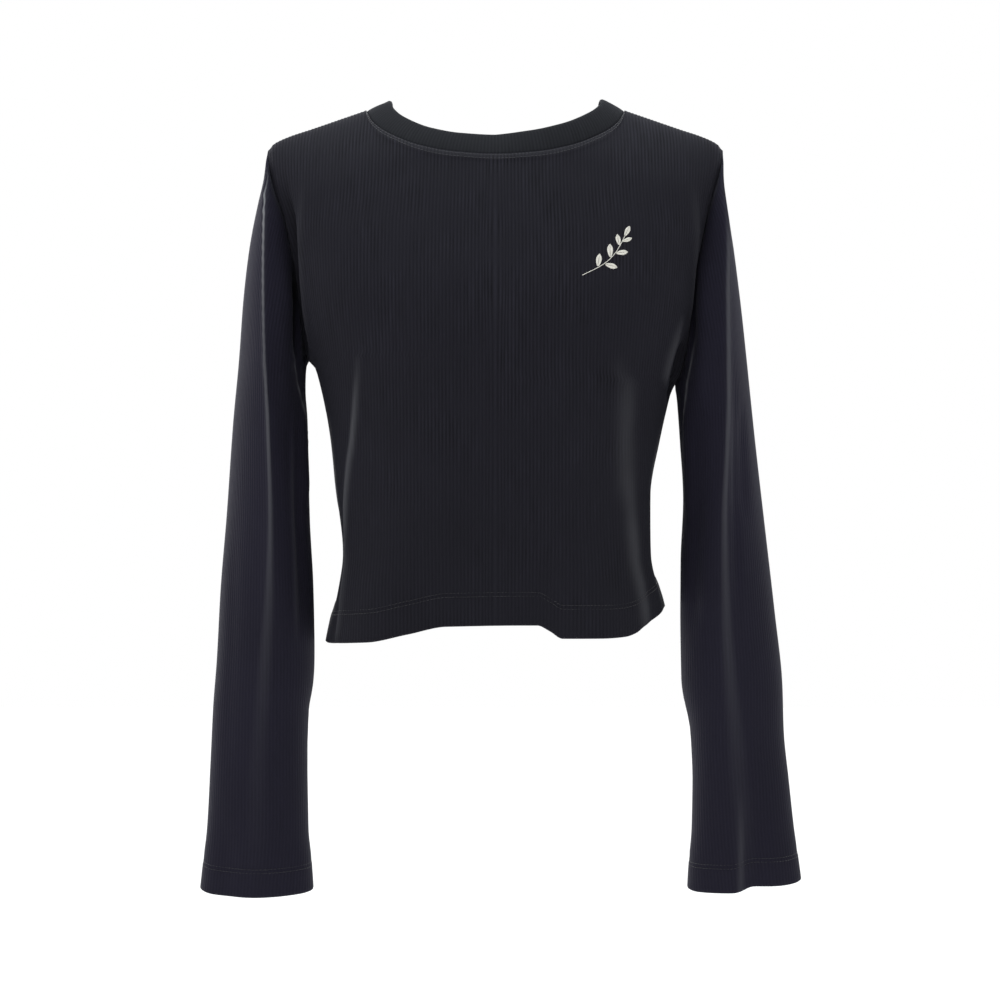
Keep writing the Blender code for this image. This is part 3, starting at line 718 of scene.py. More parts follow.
def grid_normals(grid, closed):
    """Outward directions at a grid's points, weighted by area."""
    normals = np.zeros_like(grid)
    rows, columns = grid.shape[:2]
    last = columns if closed else columns - 1
    right = (np.arange(last) + 1) % columns
    left = np.arange(last)
    lower, upper = slice(0, rows - 1), slice(1, rows)
    corners = [(lower, left), (lower, right), (upper, right), (upper, left)]
    a, b, c, d = (grid[row, column] for row, column in corners)
    facing = np.cross(c - a, d - b)
    for row, column in corners:
        np.add.at(normals, (row, column), facing)
    return normals


def held_columns(inside):
    """For every point of a sheet, the column it takes its place from: its own, or the seam's beyond it."""
    columns = np.arange(inside.shape[1])
    first = np.argmax(inside, axis=1)[:, None] - 1
    last = inside.shape[1] - np.argmax(inside[:, ::-1], axis=1)[:, None]
    return np.clip(columns[None, :], np.maximum(first, 0), np.minimum(last, inside.shape[1] - 1))


def from_edge(points, axis):
    """How far each point lies from the last one along an axis of a sheet, measured over the cloth."""
    steps = np.linalg.norm(np.diff(points, axis=axis), axis=-1)
    runs = np.cumsum(np.flip(steps, axis), axis=axis)
    runs = np.concatenate([np.zeros_like(np.take(runs, [0], axis)), runs], axis=axis)
    return np.flip(runs, axis)


# %% A sheet of ribbed cloth with two faces
def ribbed(grid, held, push, worn, place, run, seam_distance, thickness, rib_depth):
    """The outer and the inner face of a cloth over a sheet of points, with ribs that die away at a seam."""
    normals = unit(grid_normals(grid, False))
    normals = np.take_along_axis(normals, held[..., None], axis=1)
    risen = 1 - np.exp(-((seam_distance / SEAM_SOFT) ** 2))
    wave = rib_depth * np.cos(2 * np.pi * place / RIB)
    # Ribs flatten where a crease is painted lighter.
    wave *= risen * (1 - np.clip(worn * LIT_CREASE_FLAT, 0, FLATTEST))
    outer = grid + normals * (push + SEAM_LIFT * risen + wave)[..., None]
    inner = outer - normals * thickness[..., None]
    return {
        "outer": outer,
        "inner": inner,
        "normals": normals,
        "held": held,
        "place": place,
        "run": run,
        "marks": {"worn": worn},
    }


def add_numbers(mesh, name, values):
    """Numbers kept on a mesh's points, for its shader to read."""
    mesh.attributes.new(name, "FLOAT", "POINT").data.foreach_set("value", values.astype(np.float32))


def mesh_from(name, points, faces, **numbers):
    """A smooth mesh from points and faces, without the points that no face uses."""
    used, place = np.unique(np.concatenate([np.ravel(face) for face in faces]), return_inverse=True)
    ends = np.cumsum([len(face) for face in faces])
    mesh = bpy.data.meshes.new(name)
    mesh.from_pydata(points[used].tolist(), [], [corners.tolist() for corners in np.split(place, ends[:-1])])
    for key, values in numbers.items():
        add_numbers(mesh, key, values[used])
    mesh.shade_smooth()
    piece = bpy.data.objects.new(name, mesh)
    bpy.context.scene.collection.objects.link(piece)
    return piece


def without_repeats(quads):
    """Quads whose corners partly fall together become triangles, and those that close up are left out."""
    a, b, c, d = quads.T
    faces = list(quads[(a != b) & (c != d) & (b != c) & (d != a)])
    faces += list(np.stack([b, c, d], 1)[(a == b) & (c != d) & (b != c)])
    faces += list(np.stack([a, b, c], 1)[(c == d) & (a != b) & (b != c)])
    return faces


def sheet_piece(name, sheet, closed=False):
    """The mesh of a two-faced sheet, closed round its edges, with the lower edge rounded."""
    rows, columns = sheet["place"].shape
    low = (sheet["outer"][0] + sheet["inner"][0]) / 2
    down = unit(sheet["outer"][0] - sheet["outer"][1]) * EDGE_ROUND
    shell = np.concatenate([sheet["outer"], sheet["inner"][::-1], (low + down)[None]])
    numbers = {}
    for mark, values in (("rib", sheet["place"] / RIB), ("run", sheet["run"] / MM), *sheet["marks"].items()):
        numbers[mark] = np.concatenate([values, values[::-1], values[:1]]).ravel()
    held = np.concatenate([sheet["held"], sheet["held"][::-1], sheet["held"][:1]])
    tall = len(shell)
    index = np.arange(tall)[:, None] * columns + held
    if closed:
        index = np.concatenate([index, index[:, :1]], axis=1)
    up = np.roll(np.arange(tall), -1)
    quads = np.stack([index[:, :-1], index[:, 1:], index[up, 1:], index[up, :-1]], axis=-1).reshape(-1, 4)
    faces = without_repeats(quads)
    if not closed:
        for edge, turn in ((index[:, 0], 1), (index[:, -1], -1)):
            for row in range(rows):
                if row == 0:
                    faces.append(np.array([edge[-1], edge[0], edge[tall - 2]])[::-turn])
                else:
                    corners = [edge[row - 1], edge[row], edge[tall - 2 - row], edge[tall - 1 - row]]
                    faces.append(np.array(corners)[::-turn])
    piece = mesh_from(name, shell.reshape(-1, 3), faces, **numbers)
    print(name, len(piece.data.polygons), "faces")
    return piece


# %% [markdown]
# ## Front and back
#
# A panel's rows run from the hem up to the neck and shoulder seams. Its ribs run plumb, from the hem to the
# seam above. The hem is turned up inside, so its cloth is thicker there.

# %% How much cloth lies from the middle of a panel to its side
PROBE = np.linspace(-435, -100, 68) * MM
FULL_HEIGHT = -100 * MM  # above this the shoulders round the section, and the cloth keeps its width
SIDE_STEPS = 90  # places from a panel's middle to its edge at which its cloth is measured
FOLD_GROWS = 0.4  # share of a fold's run over which it grows
FOLD_FADES = 0.25  # share of its run over which it fades


def side_cloth(face, side):
    """Cloth from a panel's middle to its edge, at each height that is probed."""
    shares = np.linspace(0, 1, SIDE_STEPS)
    heights, places = np.repeat(PROBE, len(shares)), np.tile(shares, len(PROBE))
    points = body_side(face, side, places, heights).reshape(len(PROBE), len(shares), 3)
    return np.linalg.norm(np.diff(points, axis=1), axis=-1).sum(axis=1)


SIDES = (WEARERS_RIGHT, WEARERS_LEFT)
CLOTH_OUT = {(face, side): side_cloth(face, side) for face in (FRONT, BACK) for side in SIDES}
for (face, side), cloth in CLOTH_OUT.items():
    named = "front" if face == FRONT else "back", "right" if side == WEARERS_RIGHT else "left"
    print(*named, "from hem to armhole, mm:", np.round([cloth[0] / MM, cloth.max() / MM]))


def top_height(face, share):
    """Height of a panel's top edge: the neck seam, then the shoulder seam."""
    neck = look_up(NECK_SEAM[face], "height", share / NECK_SHARE)
    return np.where(share < NECK_SHARE, neck, shoulder_height(np.maximum(share, NECK_SHARE)))


def over_folds(folds, column, place, height, half_width):
    """A column of a table of folds, such as their push, spread over places that are shares of the width."""
    total = np.zeros_like(height)
    names = ("top", "bottom", "across_top", "across_bottom", "width", column)
    for top, bottom, start, end, width, amount in zip(*(folds[name] for name in names)):
        down = (top - height) / (top - bottom)
        middle = start + (end - start) * down
        crest = np.exp(-(((place - middle) * half_width / width) ** 2))
        total += amount * crest * ease(down / FOLD_GROWS) * ease((1 - down) / FOLD_FADES)
    return total


# %% A panel's sheet of points
CLOTH_ROUND_FORM = 1.35  # cloth from a panel's middle to its edge, for each unit straight out
BODY_SEAM_FLAT = 0.2  # share of a panel's half by its side seam where folds fade
HEM_ROWS, SIDE_ROWS, YOKE_ROWS = 7, 38, 42
NECK_RIDGE = 6.2 * MM  # width of the seam allowance that is sewn down below the neck seam
NECK_RIDGE_STANDS = 0.7 * MM
STITCH_GROOVE = 0.3 * MM  # how far a row of hem stitches pulls the cloth in
GROOVE_WIDE = 1.8 * MM
CREASE_SEAM_FLAT = 6 * MM  # distance from a seam over which creases fade
PUCKER_STANDS = 0.45 * MM  # how far the cloth is gathered up in small puckers beside an armhole seam
PUCKER_WIDE = 5 * MM  # how far from the seam they reach
PUCKER_TURNS = (0.9, 0.23, 1.7)  # how fast their waves turn, in radians for each millimetre of height
RIDGE_LIGHT = 0.12  # how much painted highlight the cloth over that seam allowance takes, where its ridge catches the light


def pucker(height, to_armhole):
    """Small uneven puckers that an armhole seam pulls into the cloth beside it."""
    small, long, fine = (height / MM * turns for turns in PUCKER_TURNS)
    wave = np.sin(small) * np.sin(long + 1) + 0.5 * np.sin(fine)
    return PUCKER_STANDS * wave * np.exp(-((to_armhole / PUCKER_WIDE) ** 2)) * ease(to_armhole / MM)


def panel_levels():
    """Rows of a panel: 0 at the hem, 1 where its turn-up ends, 2 at the underarm and 3 at the top."""
    hem = np.linspace(0, 1, HEM_ROWS, endpoint=False)
    side = 1 + np.linspace(0, 1, SIDE_ROWS, endpoint=False)
    yoke = 2 + (1 - np.cos(np.linspace(0, np.pi, YOKE_ROWS))) / 2
    return np.concatenate([hem, side, yoke])[:, None]


def panel_heights(face, across):
    """Height of every point of a panel, from how far across it lies."""
    hem = look_up(HEM[face], "height", across)
    middle = (UNDERARM[WEARERS_RIGHT] + UNDERARM[WEARERS_LEFT]) / 2
    under = middle + (UNDERARM[WEARERS_LEFT] - middle) * across
    knots = np.stack([hem, hem + HEM_DEPTH, under, top_height(face, np.abs(across))])
    level = np.broadcast_to(panel_levels(), across.shape)
    below = np.minimum(level.astype(int), 2)
    low = np.take_along_axis(knots, below[None], axis=0)[0]
    high = np.take_along_axis(knots, below[None] + 1, axis=0)[0]
    return low + (high - low) * (level - below)


def panel_sheet(face):
    """The ribbed sheet of the front or the back."""
    widest = max(CLOTH_OUT[face, side].max() for side in SIDES)
    steps = int(np.ceil(widest / RIB * RIB_STEPS))
    columns = np.arange(-steps, steps + 1) * RIB / RIB_STEPS
    wanted = np.broadcast_to(columns, (len(panel_levels()), len(columns)))
    height = np.full(wanted.shape, FULL_HEIGHT)
    for _ in range(SETTLING_ROUNDS):
        probe = np.minimum(height, FULL_HEIGHT)
        right = np.interp(probe, PROBE, CLOTH_OUT[face, WEARERS_RIGHT])
        left = np.interp(probe, PROBE, CLOTH_OUT[face, WEARERS_LEFT])
        out = np.where(wanted < 0, right, left)
        across = np.clip(wanted / out, -1, 1)
        height = panel_heights(face, across)
    place = across * out
    grid = body_points(face, across.ravel(), height.ravel()).reshape(height.shape + (3,))
    half_width = np.abs(np.where(across < 0, *(look_up(EDGE[side], "out", height) for side in SIDES)))
    share, run = np.abs(across), from_edge(grid, 0)
    cloth_out = half_width * CLOTH_ROUND_FORM
    to_seam = np.minimum((1 - share) * out, run)
    folds = over_folds(BODY_FOLDS[face], "push", across, height, cloth_out)
    creases = over_folds(BODY_CREASES[face], "push", across, height, cloth_out)
    push = folds * ease((1 - share) / BODY_SEAM_FLAT) + creases * ease(to_seam / CREASE_SEAM_FLAT)
    push += pucker(height, (1 - share) * out) * (height > UNDERARM[WEARERS_LEFT])
    # A crease's painted light: a painted highlight on its ridge, painted shade in its gully.
    worn = over_folds(BODY_CREASES[face], "worn", across, height, cloth_out)
    ridge = (np.abs(across[-1]) < NECK_SHARE) * ease(run / MM / 2) * ease((NECK_RIDGE - run) / MM + 0.5)
    to_hem = height - look_up(HEM[face], "height", across) - HEM_DEPTH
    push += NECK_RIDGE_STANDS * ridge - STITCH_GROOVE * np.exp(-((to_hem / GROOVE_WIDE) ** 2))
    # The seam allowance under the neck seam takes a painted highlight where its ridge catches the light.
    worn += RIDGE_LIGHT * ridge
    thickness = np.where(panel_levels() < 1, TURNED_CLOTH, CLOTH) * np.ones_like(place)
    ordered = slice(None) if face == FRONT else slice(None, None, -1)
    grid, push, worn, place, run, to_seam, thickness, share = (
        values[:, ordered] for values in (grid, push, worn, place, run, to_seam, thickness, share)
    )
    return ribbed(grid, held_columns(share < 1), push, worn, place, run, to_seam, thickness, RIB_DEPTH)


front_sheet, back_sheet = panel_sheet(FRONT), panel_sheet(BACK)
front = sheet_piece("front_cloth", front_sheet)
back = sheet_piece("back_cloth", back_sheet)

# %% [markdown]
# ## Sleeves
#
# A sleeve is one piece of cloth wrapped into a tube, with its seam along the inside of the arm. Its ribs run
# from the cuff up to the armhole, and start from the outer line so that they are the same on both sides.

# %% A sleeve's sheet of points
SLEEVE_HALF_CLOTH = 135 * MM  # cloth from a sleeve's outer line to its inner line
SLEEVE_SEAM_FLAT = 0.125  # share of that cloth at each line where folds fade
CUFF_ROWS, SLEEVE_ROWS = 7, 76
ARM_LEVELS, ARMHOLE_LEVELS = 60, 90  # heights at which its cloth is measured, below and in the armhole
CUFF_LOWEST = -640 * MM
ARMHOLE_FLAT = 42 * MM  # height below the armhole seam over which a sleeve's folds fade


def sleeve_half(face, side):
    """Half of a sleeve, front or back: its points from the outer line to the inner seam, and their push."""
    levels = np.linspace(CUFF_LOWEST, UNDERARM[side], ARM_LEVELS)
    armhole = np.linspace(UNDERARM[side], -SHOULDER_DROP, ARMHOLE_LEVELS)
    cloth, armhole_cloth = section_cloth(face, side, levels), section_cloth(face, side, armhole)
    steps = int(np.ceil(cloth.max() / RIB * RIB_STEPS))
    hem = np.linspace(0, 1, CUFF_ROWS, endpoint=False)
    level = np.concatenate([hem, 1 + np.linspace(0, 1, SLEEVE_ROWS)])[:, None]
    wanted = np.broadcast_to(np.arange(steps + 1) * RIB / RIB_STEPS, (len(level), steps + 1))
    top = np.interp(wanted[0], armhole_cloth[::-1], armhole[::-1])
    share = np.minimum(wanted / cloth.max(), 1)
    for _ in range(SETTLING_ROUNDS):
        cuff = look_up(CUFF[side, face], "height", share)
        low = np.where(level < 1, cuff, cuff + CUFF_DEPTH)
        high = np.where(level < 1, cuff + CUFF_DEPTH, top)
        height = low + (high - low) * (level - (level >= 1))
        out = np.interp(height, levels, cloth)
        share = np.minimum(wanted / out, 1)
    grid = sleeve_points(face, side, share.ravel(), height.ravel()).reshape(height.shape + (3,))
    flat = ease((1 - share) / SLEEVE_SEAM_FLAT) * ease(share / SLEEVE_SEAM_FLAT)
    push = over_folds(SLEEVE_FOLDS[side, face], "push", share, height, SLEEVE_HALF_CLOTH) * flat
    push *= ease((top - height) / ARMHOLE_FLAT)
    creases = over_folds(SLEEVE_CREASES[side, face], "push", share, height, SLEEVE_HALF_CLOTH)
    push += creases * ease((top - height) / CREASE_SEAM_FLAT)
    push -= STITCH_GROOVE * np.exp(-(((height - cuff - CUFF_DEPTH) / GROOVE_WIDE) ** 2))
    # A crease's painted light: a painted highlight on its ridge, painted shade in its gully.
    worn = over_folds(SLEEVE_CREASES[side, face], "worn", share, height, SLEEVE_HALF_CLOTH)
    probe = np.concatenate([levels, armhole[1:-1]])
    from_fold = share * out - np.interp(height, probe, cloth_to_fold(face, side, probe))
    fold = from_fold / look_up(SHARP_FOLD[side], "width", height)
    crest = np.exp(-((fold / FOLD_SOFT) ** 2))
    # How strongly a painted highlight is drawn along the sharp fold; its ridge stands out by as much.
    sharp = look_up(SHARP_FOLD[side], "worn", height) * (1 if face == FRONT else BACK_FOLD_SHARE)
    push += SHARP_FOLD_STANDS * crest * np.minimum(sharp, 1)
    push += pucker(height, top - height) * (height > UNDERARM[side])
    # The cloth beside the fold takes a little of that painted highlight.
    worn += FOLD_HALO * sharp * crest
    thickness = np.where(level < 1, TURNED_CLOTH, CLOTH) * np.ones_like(share)
    return {
        "grid": grid,
        "share": share,
        "push": push,
        "worn": worn,
        "place": share * out,
        "fold": fold,
        "fold_worn": sharp * np.ones_like(share),
        "thickness": thickness,
        "to_seam": (1 - share) * out,
    }


def sleeve_sheet(side):
    """The ribbed sheet of a sleeve, from its seam round by the front or back to its seam again."""
    first, second = (FRONT, BACK) if side == WEARERS_RIGHT else (BACK, FRONT)
    halves = sleeve_half(first, side), sleeve_half(second, side)
    both = {
        name: np.concatenate([halves[0][name][:, :0:-1], halves[1][name]], axis=1)
        for name in halves[0]
    }
    both["place"][:, : halves[0]["share"].shape[1] - 1] *= -1
    both = {name: values[:, ::-1] for name, values in both.items()}
    run = from_edge(both["grid"], 0)
    to_seam = np.minimum(both["to_seam"], run)
    held = held_columns(both["share"] < 1)
    inputs = [both[name] for name in ("push", "worn", "place")]
    sheet = ribbed(both["grid"], held, *inputs, run, to_seam, both["thickness"], SLEEVE_RIB_DEPTH)
    sheet["marks"] |= {"fold": both["fold"], "fold_worn": both["fold_worn"]}
    return sheet


right_sheet, left_sheet = sleeve_sheet(WEARERS_RIGHT), sleeve_sheet(WEARERS_LEFT)
right_sleeve = sheet_piece("right_sleeve_cloth", right_sheet)
left_sleeve = sheet_piece("left_sleeve_cloth", left_sheet)

# %% [markdown]
# ## Neckband
#
# The neckband is a strip of the same rib, folded double, with its ribs across it. It stands on the neck seam
# and leans in, so that it lies along the shoulders at the sides.

# %% The neckband's sheet of points
BAND_CLOTH = 2.6 * MM
BAND_ROWS = 12
BAND_RIB_DEPTH = 0.1 * MM  # the doubled band is stretched, so its ribs are nearly flat
BAND_SWELL = 1.0 * MM  # how far it swells halfway up, where its two layers stand apart
BAND_SUNK = 0.4 * MM  # how far its foot lies below the panels' edge
BAND_FOLD = 1.1 * MM  # how far its fold bulges


def neck_seam_line():
    """The neck seam as a closed line, from the wearer's right along the front, and back along the back."""
    across = np.linspace(-NECK_SHARE, NECK_SHARE, 400)
    lines = [body_points(face, across, top_height(face, np.abs(across))) for face in (FRONT, BACK)]
    return np.concatenate([lines[0][:-1], lines[1][:0:-1]])


def even_steps(line, count):
    """A closed line in steps of one length."""
    closed = np.concatenate([line, line[:1]])
    run = np.concatenate([[0], np.cumsum(np.linalg.norm(np.diff(closed, axis=0), axis=1))])
    wanted = np.arange(count) / count * run[-1]
    return np.stack([np.interp(wanted, run, closed[:, axis]) for axis in range(3)], axis=1), run[-1]


neck_line = neck_seam_line()
_, neck_length = even_steps(neck_line, 1)
band_ribs = int(round(neck_length / RIB))
seam, _ = even_steps(neck_line, band_ribs * RIB_STEPS)
turn = np.arctan2(-seam[:, 1] / NECK_HALF_DEPTH, seam[:, 0] / NECK_HALF_WIDTH)
facing_front = np.clip(np.sin(turn), 0, 1) ** LEAN_POWER
facing_back = np.clip(-np.sin(turn), 0, 1) ** LEAN_POWER
lean = BAND_LEAN["side"] + (BAND_LEAN["front"] - BAND_LEAN["side"]) * facing_front
lean = lean + (BAND_LEAN["back"] - BAND_LEAN["side"]) * facing_back
lean = np.radians(lean - LEFT_STANDS_UP * np.clip(np.sin(2 * turn), 0, 1) * (turn < np.pi / 2))
inwards = np.stack([-np.cos(turn), np.sin(turn), np.zeros(len(turn))], axis=-1)
rise = inwards * np.sin(lean)[:, None] + np.array([0, 0, 1]) * np.cos(lean)[:, None]
outwards = np.array([0, 0, 1]) * np.sin(lean)[:, None] - inwards * np.cos(lean)[:, None]
place = np.broadcast_to(np.arange(len(seam)) * RIB / RIB_STEPS, (BAND_ROWS, len(seam)))
up = np.linspace(0, 1, BAND_ROWS)[:, None]
swell = BAND_SWELL * np.sin(np.pi * up) ** 0.7
wave = BAND_RIB_DEPTH * np.cos(2 * np.pi * place / RIB) * np.clip(np.minimum(up, 1 - up) * 6, 0, 1)
grid = seam + rise * (BAND_WIDTH * up)[..., None]
band_outer = grid + outwards * (swell + wave - BAND_SUNK * (1 - up))[..., None]
band_inner = grid - outwards * (BAND_CLOTH - swell * 0.4)[..., None] * np.ones_like(up)[..., None]
fold = (band_outer[-1] + band_inner[-1]) / 2 + rise * BAND_FOLD
band_sheet = {
    "outer": np.concatenate([band_outer, fold[None]]),
    "inner": np.concatenate([band_inner, fold[None]]),
    "place": np.concatenate([place, place[:1]]),
    "run": np.concatenate([BAND_WIDTH * (1 - up) * np.ones_like(place), np.zeros_like(place[:1])]),
    "marks": {"worn": np.zeros((BAND_ROWS + 1, len(seam)))},
    "held": np.broadcast_to(np.arange(len(seam)), (BAND_ROWS + 1, len(seam))),
}
neckband = sheet_piece("neckband_cloth", band_sheet, closed=True)
print("ribs round the neckband:", band_ribs)

# %% [markdown]
# ## Stitching
#
# Hems, cuffs and the neck seam are sewn with a twin-needle stitch: two rows of short thread a few millimetres
# apart. Each stitch is a small pinched tube of thread that follows the cloth. They are made as one mesh for
# each seam, because a few hundred tiny objects would only slow the scene.

# %% A line on a sheet, and stitches along it
def line_at(sheet, distance, from_top):
    """A line over a sheet's outer face, at one distance from an edge, and the directions out of the cloth."""
    outer = sheet["outer"][::-1] if from_top else sheet["outer"]
    normals = sheet["normals"][::-1] if from_top else sheet["normals"]
    steps = np.linalg.norm(np.diff(outer, axis=0), axis=-1)
    run = np.concatenate([np.zeros((1, outer.shape[1])), np.cumsum(steps, axis=0)])
    after = np.clip((run < distance).sum(axis=0), 1, len(run) - 1)
    columns = np.arange(outer.shape[1])
    part = (distance - run[after - 1, columns]) / (run[after, columns] - run[after - 1, columns])
    part = part[:, None]
    line = outer[after - 1, columns] * (1 - part) + outer[after, columns] * part
    return line, normals[after, columns]


def spaced(line, directions, step):
    """Points at even steps along a line, with the direction of the cloth there."""
    run = np.concatenate([[0], np.cumsum(np.linalg.norm(np.diff(line, axis=0), axis=1))])
    wanted = np.arange(0, run[-1], step)
    points = np.stack([np.interp(wanted, run, line[:, axis]) for axis in range(3)], axis=1)
    outwards = np.stack([np.interp(wanted, run, directions[:, axis]) for axis in range(3)], axis=1)
    return points, unit(outwards)


# %% One stitch, and a mesh of many
# The place of each ring along a stitch, from 0 to 1, and its share of the thread's width.
STITCH_RINGS = ((0.0, 0.35), (0.22, 1.0), (0.78, 1.0), (1.0, 0.35))
STITCH_SIDES = 6
STITCH_LENGTH, STITCH_GAP = 2.5 * MM, 0.5 * MM
STITCH_BOW = 0.3 * MM  # how far a stitch bows away from the cloth
NECK_THREAD, HEM_THREAD = 0.26 * MM, 0.2 * MM  # half of a thread's width


def stitch_faces():
    """Faces of one stitch: quads between its rings, and its two ends."""
    sides = np.arange(STITCH_SIDES)
    onward = (sides + 1) % STITCH_SIDES
    faces = []
    for ring in range(len(STITCH_RINGS) - 1):
        near, far = ring * STITCH_SIDES, (ring + 1) * STITCH_SIDES
        faces += [np.array([near + a, near + b, far + b, far + a]) for a, b in zip(sides, onward)]
    return faces + [sides[::-1], sides + (len(STITCH_RINGS) - 1) * STITCH_SIDES]


def stitch(start, end, outward, radius, bow):
    """Points of one stitch: a tube of thread pinched at its ends, which bows away from the cloth."""
    turns = np.arange(STITCH_SIDES) * 2 * np.pi / STITCH_SIDES
    across = unit(np.cross(end - start, outward))
    ring = np.cos(turns)[:, None] * across + np.sin(turns)[:, None] * outward
    return np.concatenate([
        start + (end - start) * share + outward * (bow * (wide - 0.6)) + ring * radius * wide
        for share, wide in STITCH_RINGS
    ])


def stitch_piece(name, made):
    """One mesh of many stitches."""
    faces = [face + first * len(made[0]) for first in range(len(made)) for face in stitch_faces()]
    piece = mesh_from(name, np.concatenate(made), faces)
    print(name, len(made), "stitches")
    return piece


def seam_stitches(rows, radius):
    """Stitches along several lines on the cloth."""
    made = []
    for line, directions in rows:
        starts, outwards = spaced(line, directions, STITCH_LENGTH + STITCH_GAP)
        steps = unit(np.diff(starts, axis=0)) * STITCH_LENGTH
        for start, step, outward in zip(starts, steps, outwards):
            made.append(stitch(start, start + step, outward, radius, STITCH_BOW))
    return made


# %% Stitches at the neck, the hem and the cuffs
def neck_part(line, directions):
    """The stretch of a line along the top of a panel that lies under the neckband."""
    under = np.abs(line[:, 0]) < NECK_HALF_WIDTH
    return line[under], directions[under]


NECK_LINES = (1.9 * MM, 5.2 * MM)  # below the neck seam
HEM_LINES = (-3 * MM, 0)  # from where a turned edge ends


def edge_rows(sheets, depth):
    """The twin rows over the turned edges of some sheets."""
    return [line_at(sheet, depth + step, False) for sheet in sheets for step in HEM_LINES]


panels, sleeves = (front_sheet, back_sheet), (right_sheet, left_sheet)
neck_rows = [neck_part(*line_at(sheet, distance, True)) for sheet in panels for distance in NECK_LINES]
neck_stitching = stitch_piece("neck_stitching", seam_stitches(neck_rows, NECK_THREAD))
hem_stitching = stitch_piece("hem_stitching", seam_stitches(edge_rows(panels, HEM_DEPTH), HEM_THREAD))
cuff_stitching = stitch_piece("cuff_stitching", seam_stitches(edge_rows(sleeves, CUFF_DEPTH), HEM_THREAD))

# %% [markdown]
# ## A small embroidered sprig
#
# A chest embroidery is satin stitch: thread laid side by side over a small shape, so close that the cloth
# doesn't show. This one is a plain sprig. A stem bends upwards, leaves stand on it by turns, and the stitches
# of each leaf slant from its middle rib to its two edges. Each stitch is laid on the cloth under it.

# %% Stem and leaves
SPRIG_LOW = np.array((72, -139)) * MM  # across and up, where the stem starts
SPRIG_HIGH = np.array((101, -110)) * MM  # where it ends
SPRIG_BEND = 4.5 * MM
SATIN_STEP = 0.42 * MM  # from one satin stitch to the next
SATIN_RADIUS = 0.25 * MM
SATIN_BOW = 0.5 * MM
LEAF_WIDTH = 0.2  # half of a leaf's width, as a share of its length
SATIN_SLANT = 0.9  # how far a stitch runs on along the leaf, for each unit to its edge
LEAVES = table(
    "share length turn",
    (0.2, 11.5, 52),
    (0.34, 11, -50),
    (0.5, 12, 46),
    (0.64, 10.5, -46),
    (0.8, 10, 40),
    (0.9, 8.5, -42),
    (1, 10, 0),
)


def stem_at(share):
    """A point of the stem and its direction, across and up."""
    chord = SPRIG_HIGH - SPRIG_LOW
    side = np.array([chord[1], -chord[0]]) / np.linalg.norm(chord) * SPRIG_BEND
    onward = unit(chord + side * np.pi * np.cos(np.pi * share))
    return SPRIG_LOW + chord * share + side * np.sin(np.pi * share), onward


def leaf_lines(share, length, turn):
    """Satin stitches of one leaf, from its middle rib to its edges, as pairs of points across and up."""
    foot, onward = stem_at(share)
    cos, sin = np.cos(np.radians(turn)), np.sin(np.radians(turn))
    rib = np.array([onward[0] * cos - onward[1] * sin, onward[0] * sin + onward[1] * cos])
    sideways = np.array([-rib[1], rib[0]])
    lines = []
    for place in np.arange(0.1, 0.97, SATIN_STEP / length):
        half = LEAF_WIDTH * length * np.sin(np.pi * place**0.8)
        for edge in (-1, 1):
            start = foot + rib * length * place
            lines.append((start, start + (sideways * edge + rib * SATIN_SLANT) * half))
    return lines


sprig_lines = [line for leaf in zip(*LEAVES.values()) for line in leaf_lines(*leaf)]
stem_places = np.arange(-0.12, 1, 0.022)
sprig_lines += [(stem_at(place)[0], stem_at(place + 0.05)[0]) for place in stem_places]
cloth_under = BVHTree.FromObject(front, bpy.context.evaluated_depsgraph_get())


def on_cloth(point):
    """The place on the front's cloth that lies behind a point across and up, and the direction out of it."""
    at, outward, _, _ = cloth_under.ray_cast(Vector((point[0], -1, point[1])), Vector((0, 1, 0)))
    return np.array(at), np.array(outward)


sprig_stitches = []
for start, end in sprig_lines:
    (a, out_a), (b, out_b) = on_cloth(start), on_cloth(end)
    sprig_stitches.append(stitch(a, b, unit(out_a + out_b), SATIN_RADIUS, SATIN_BOW))
sprig = stitch_piece("embroidered_sprig", sprig_stitches)

# %% [markdown]
# ## Shader sums as plain expressions
#
# A shader is arithmetic on what is known at each point of the surface. One small class wraps a node's output,
# so that a sum on it adds the Math node for it. Every other node comes from one method.

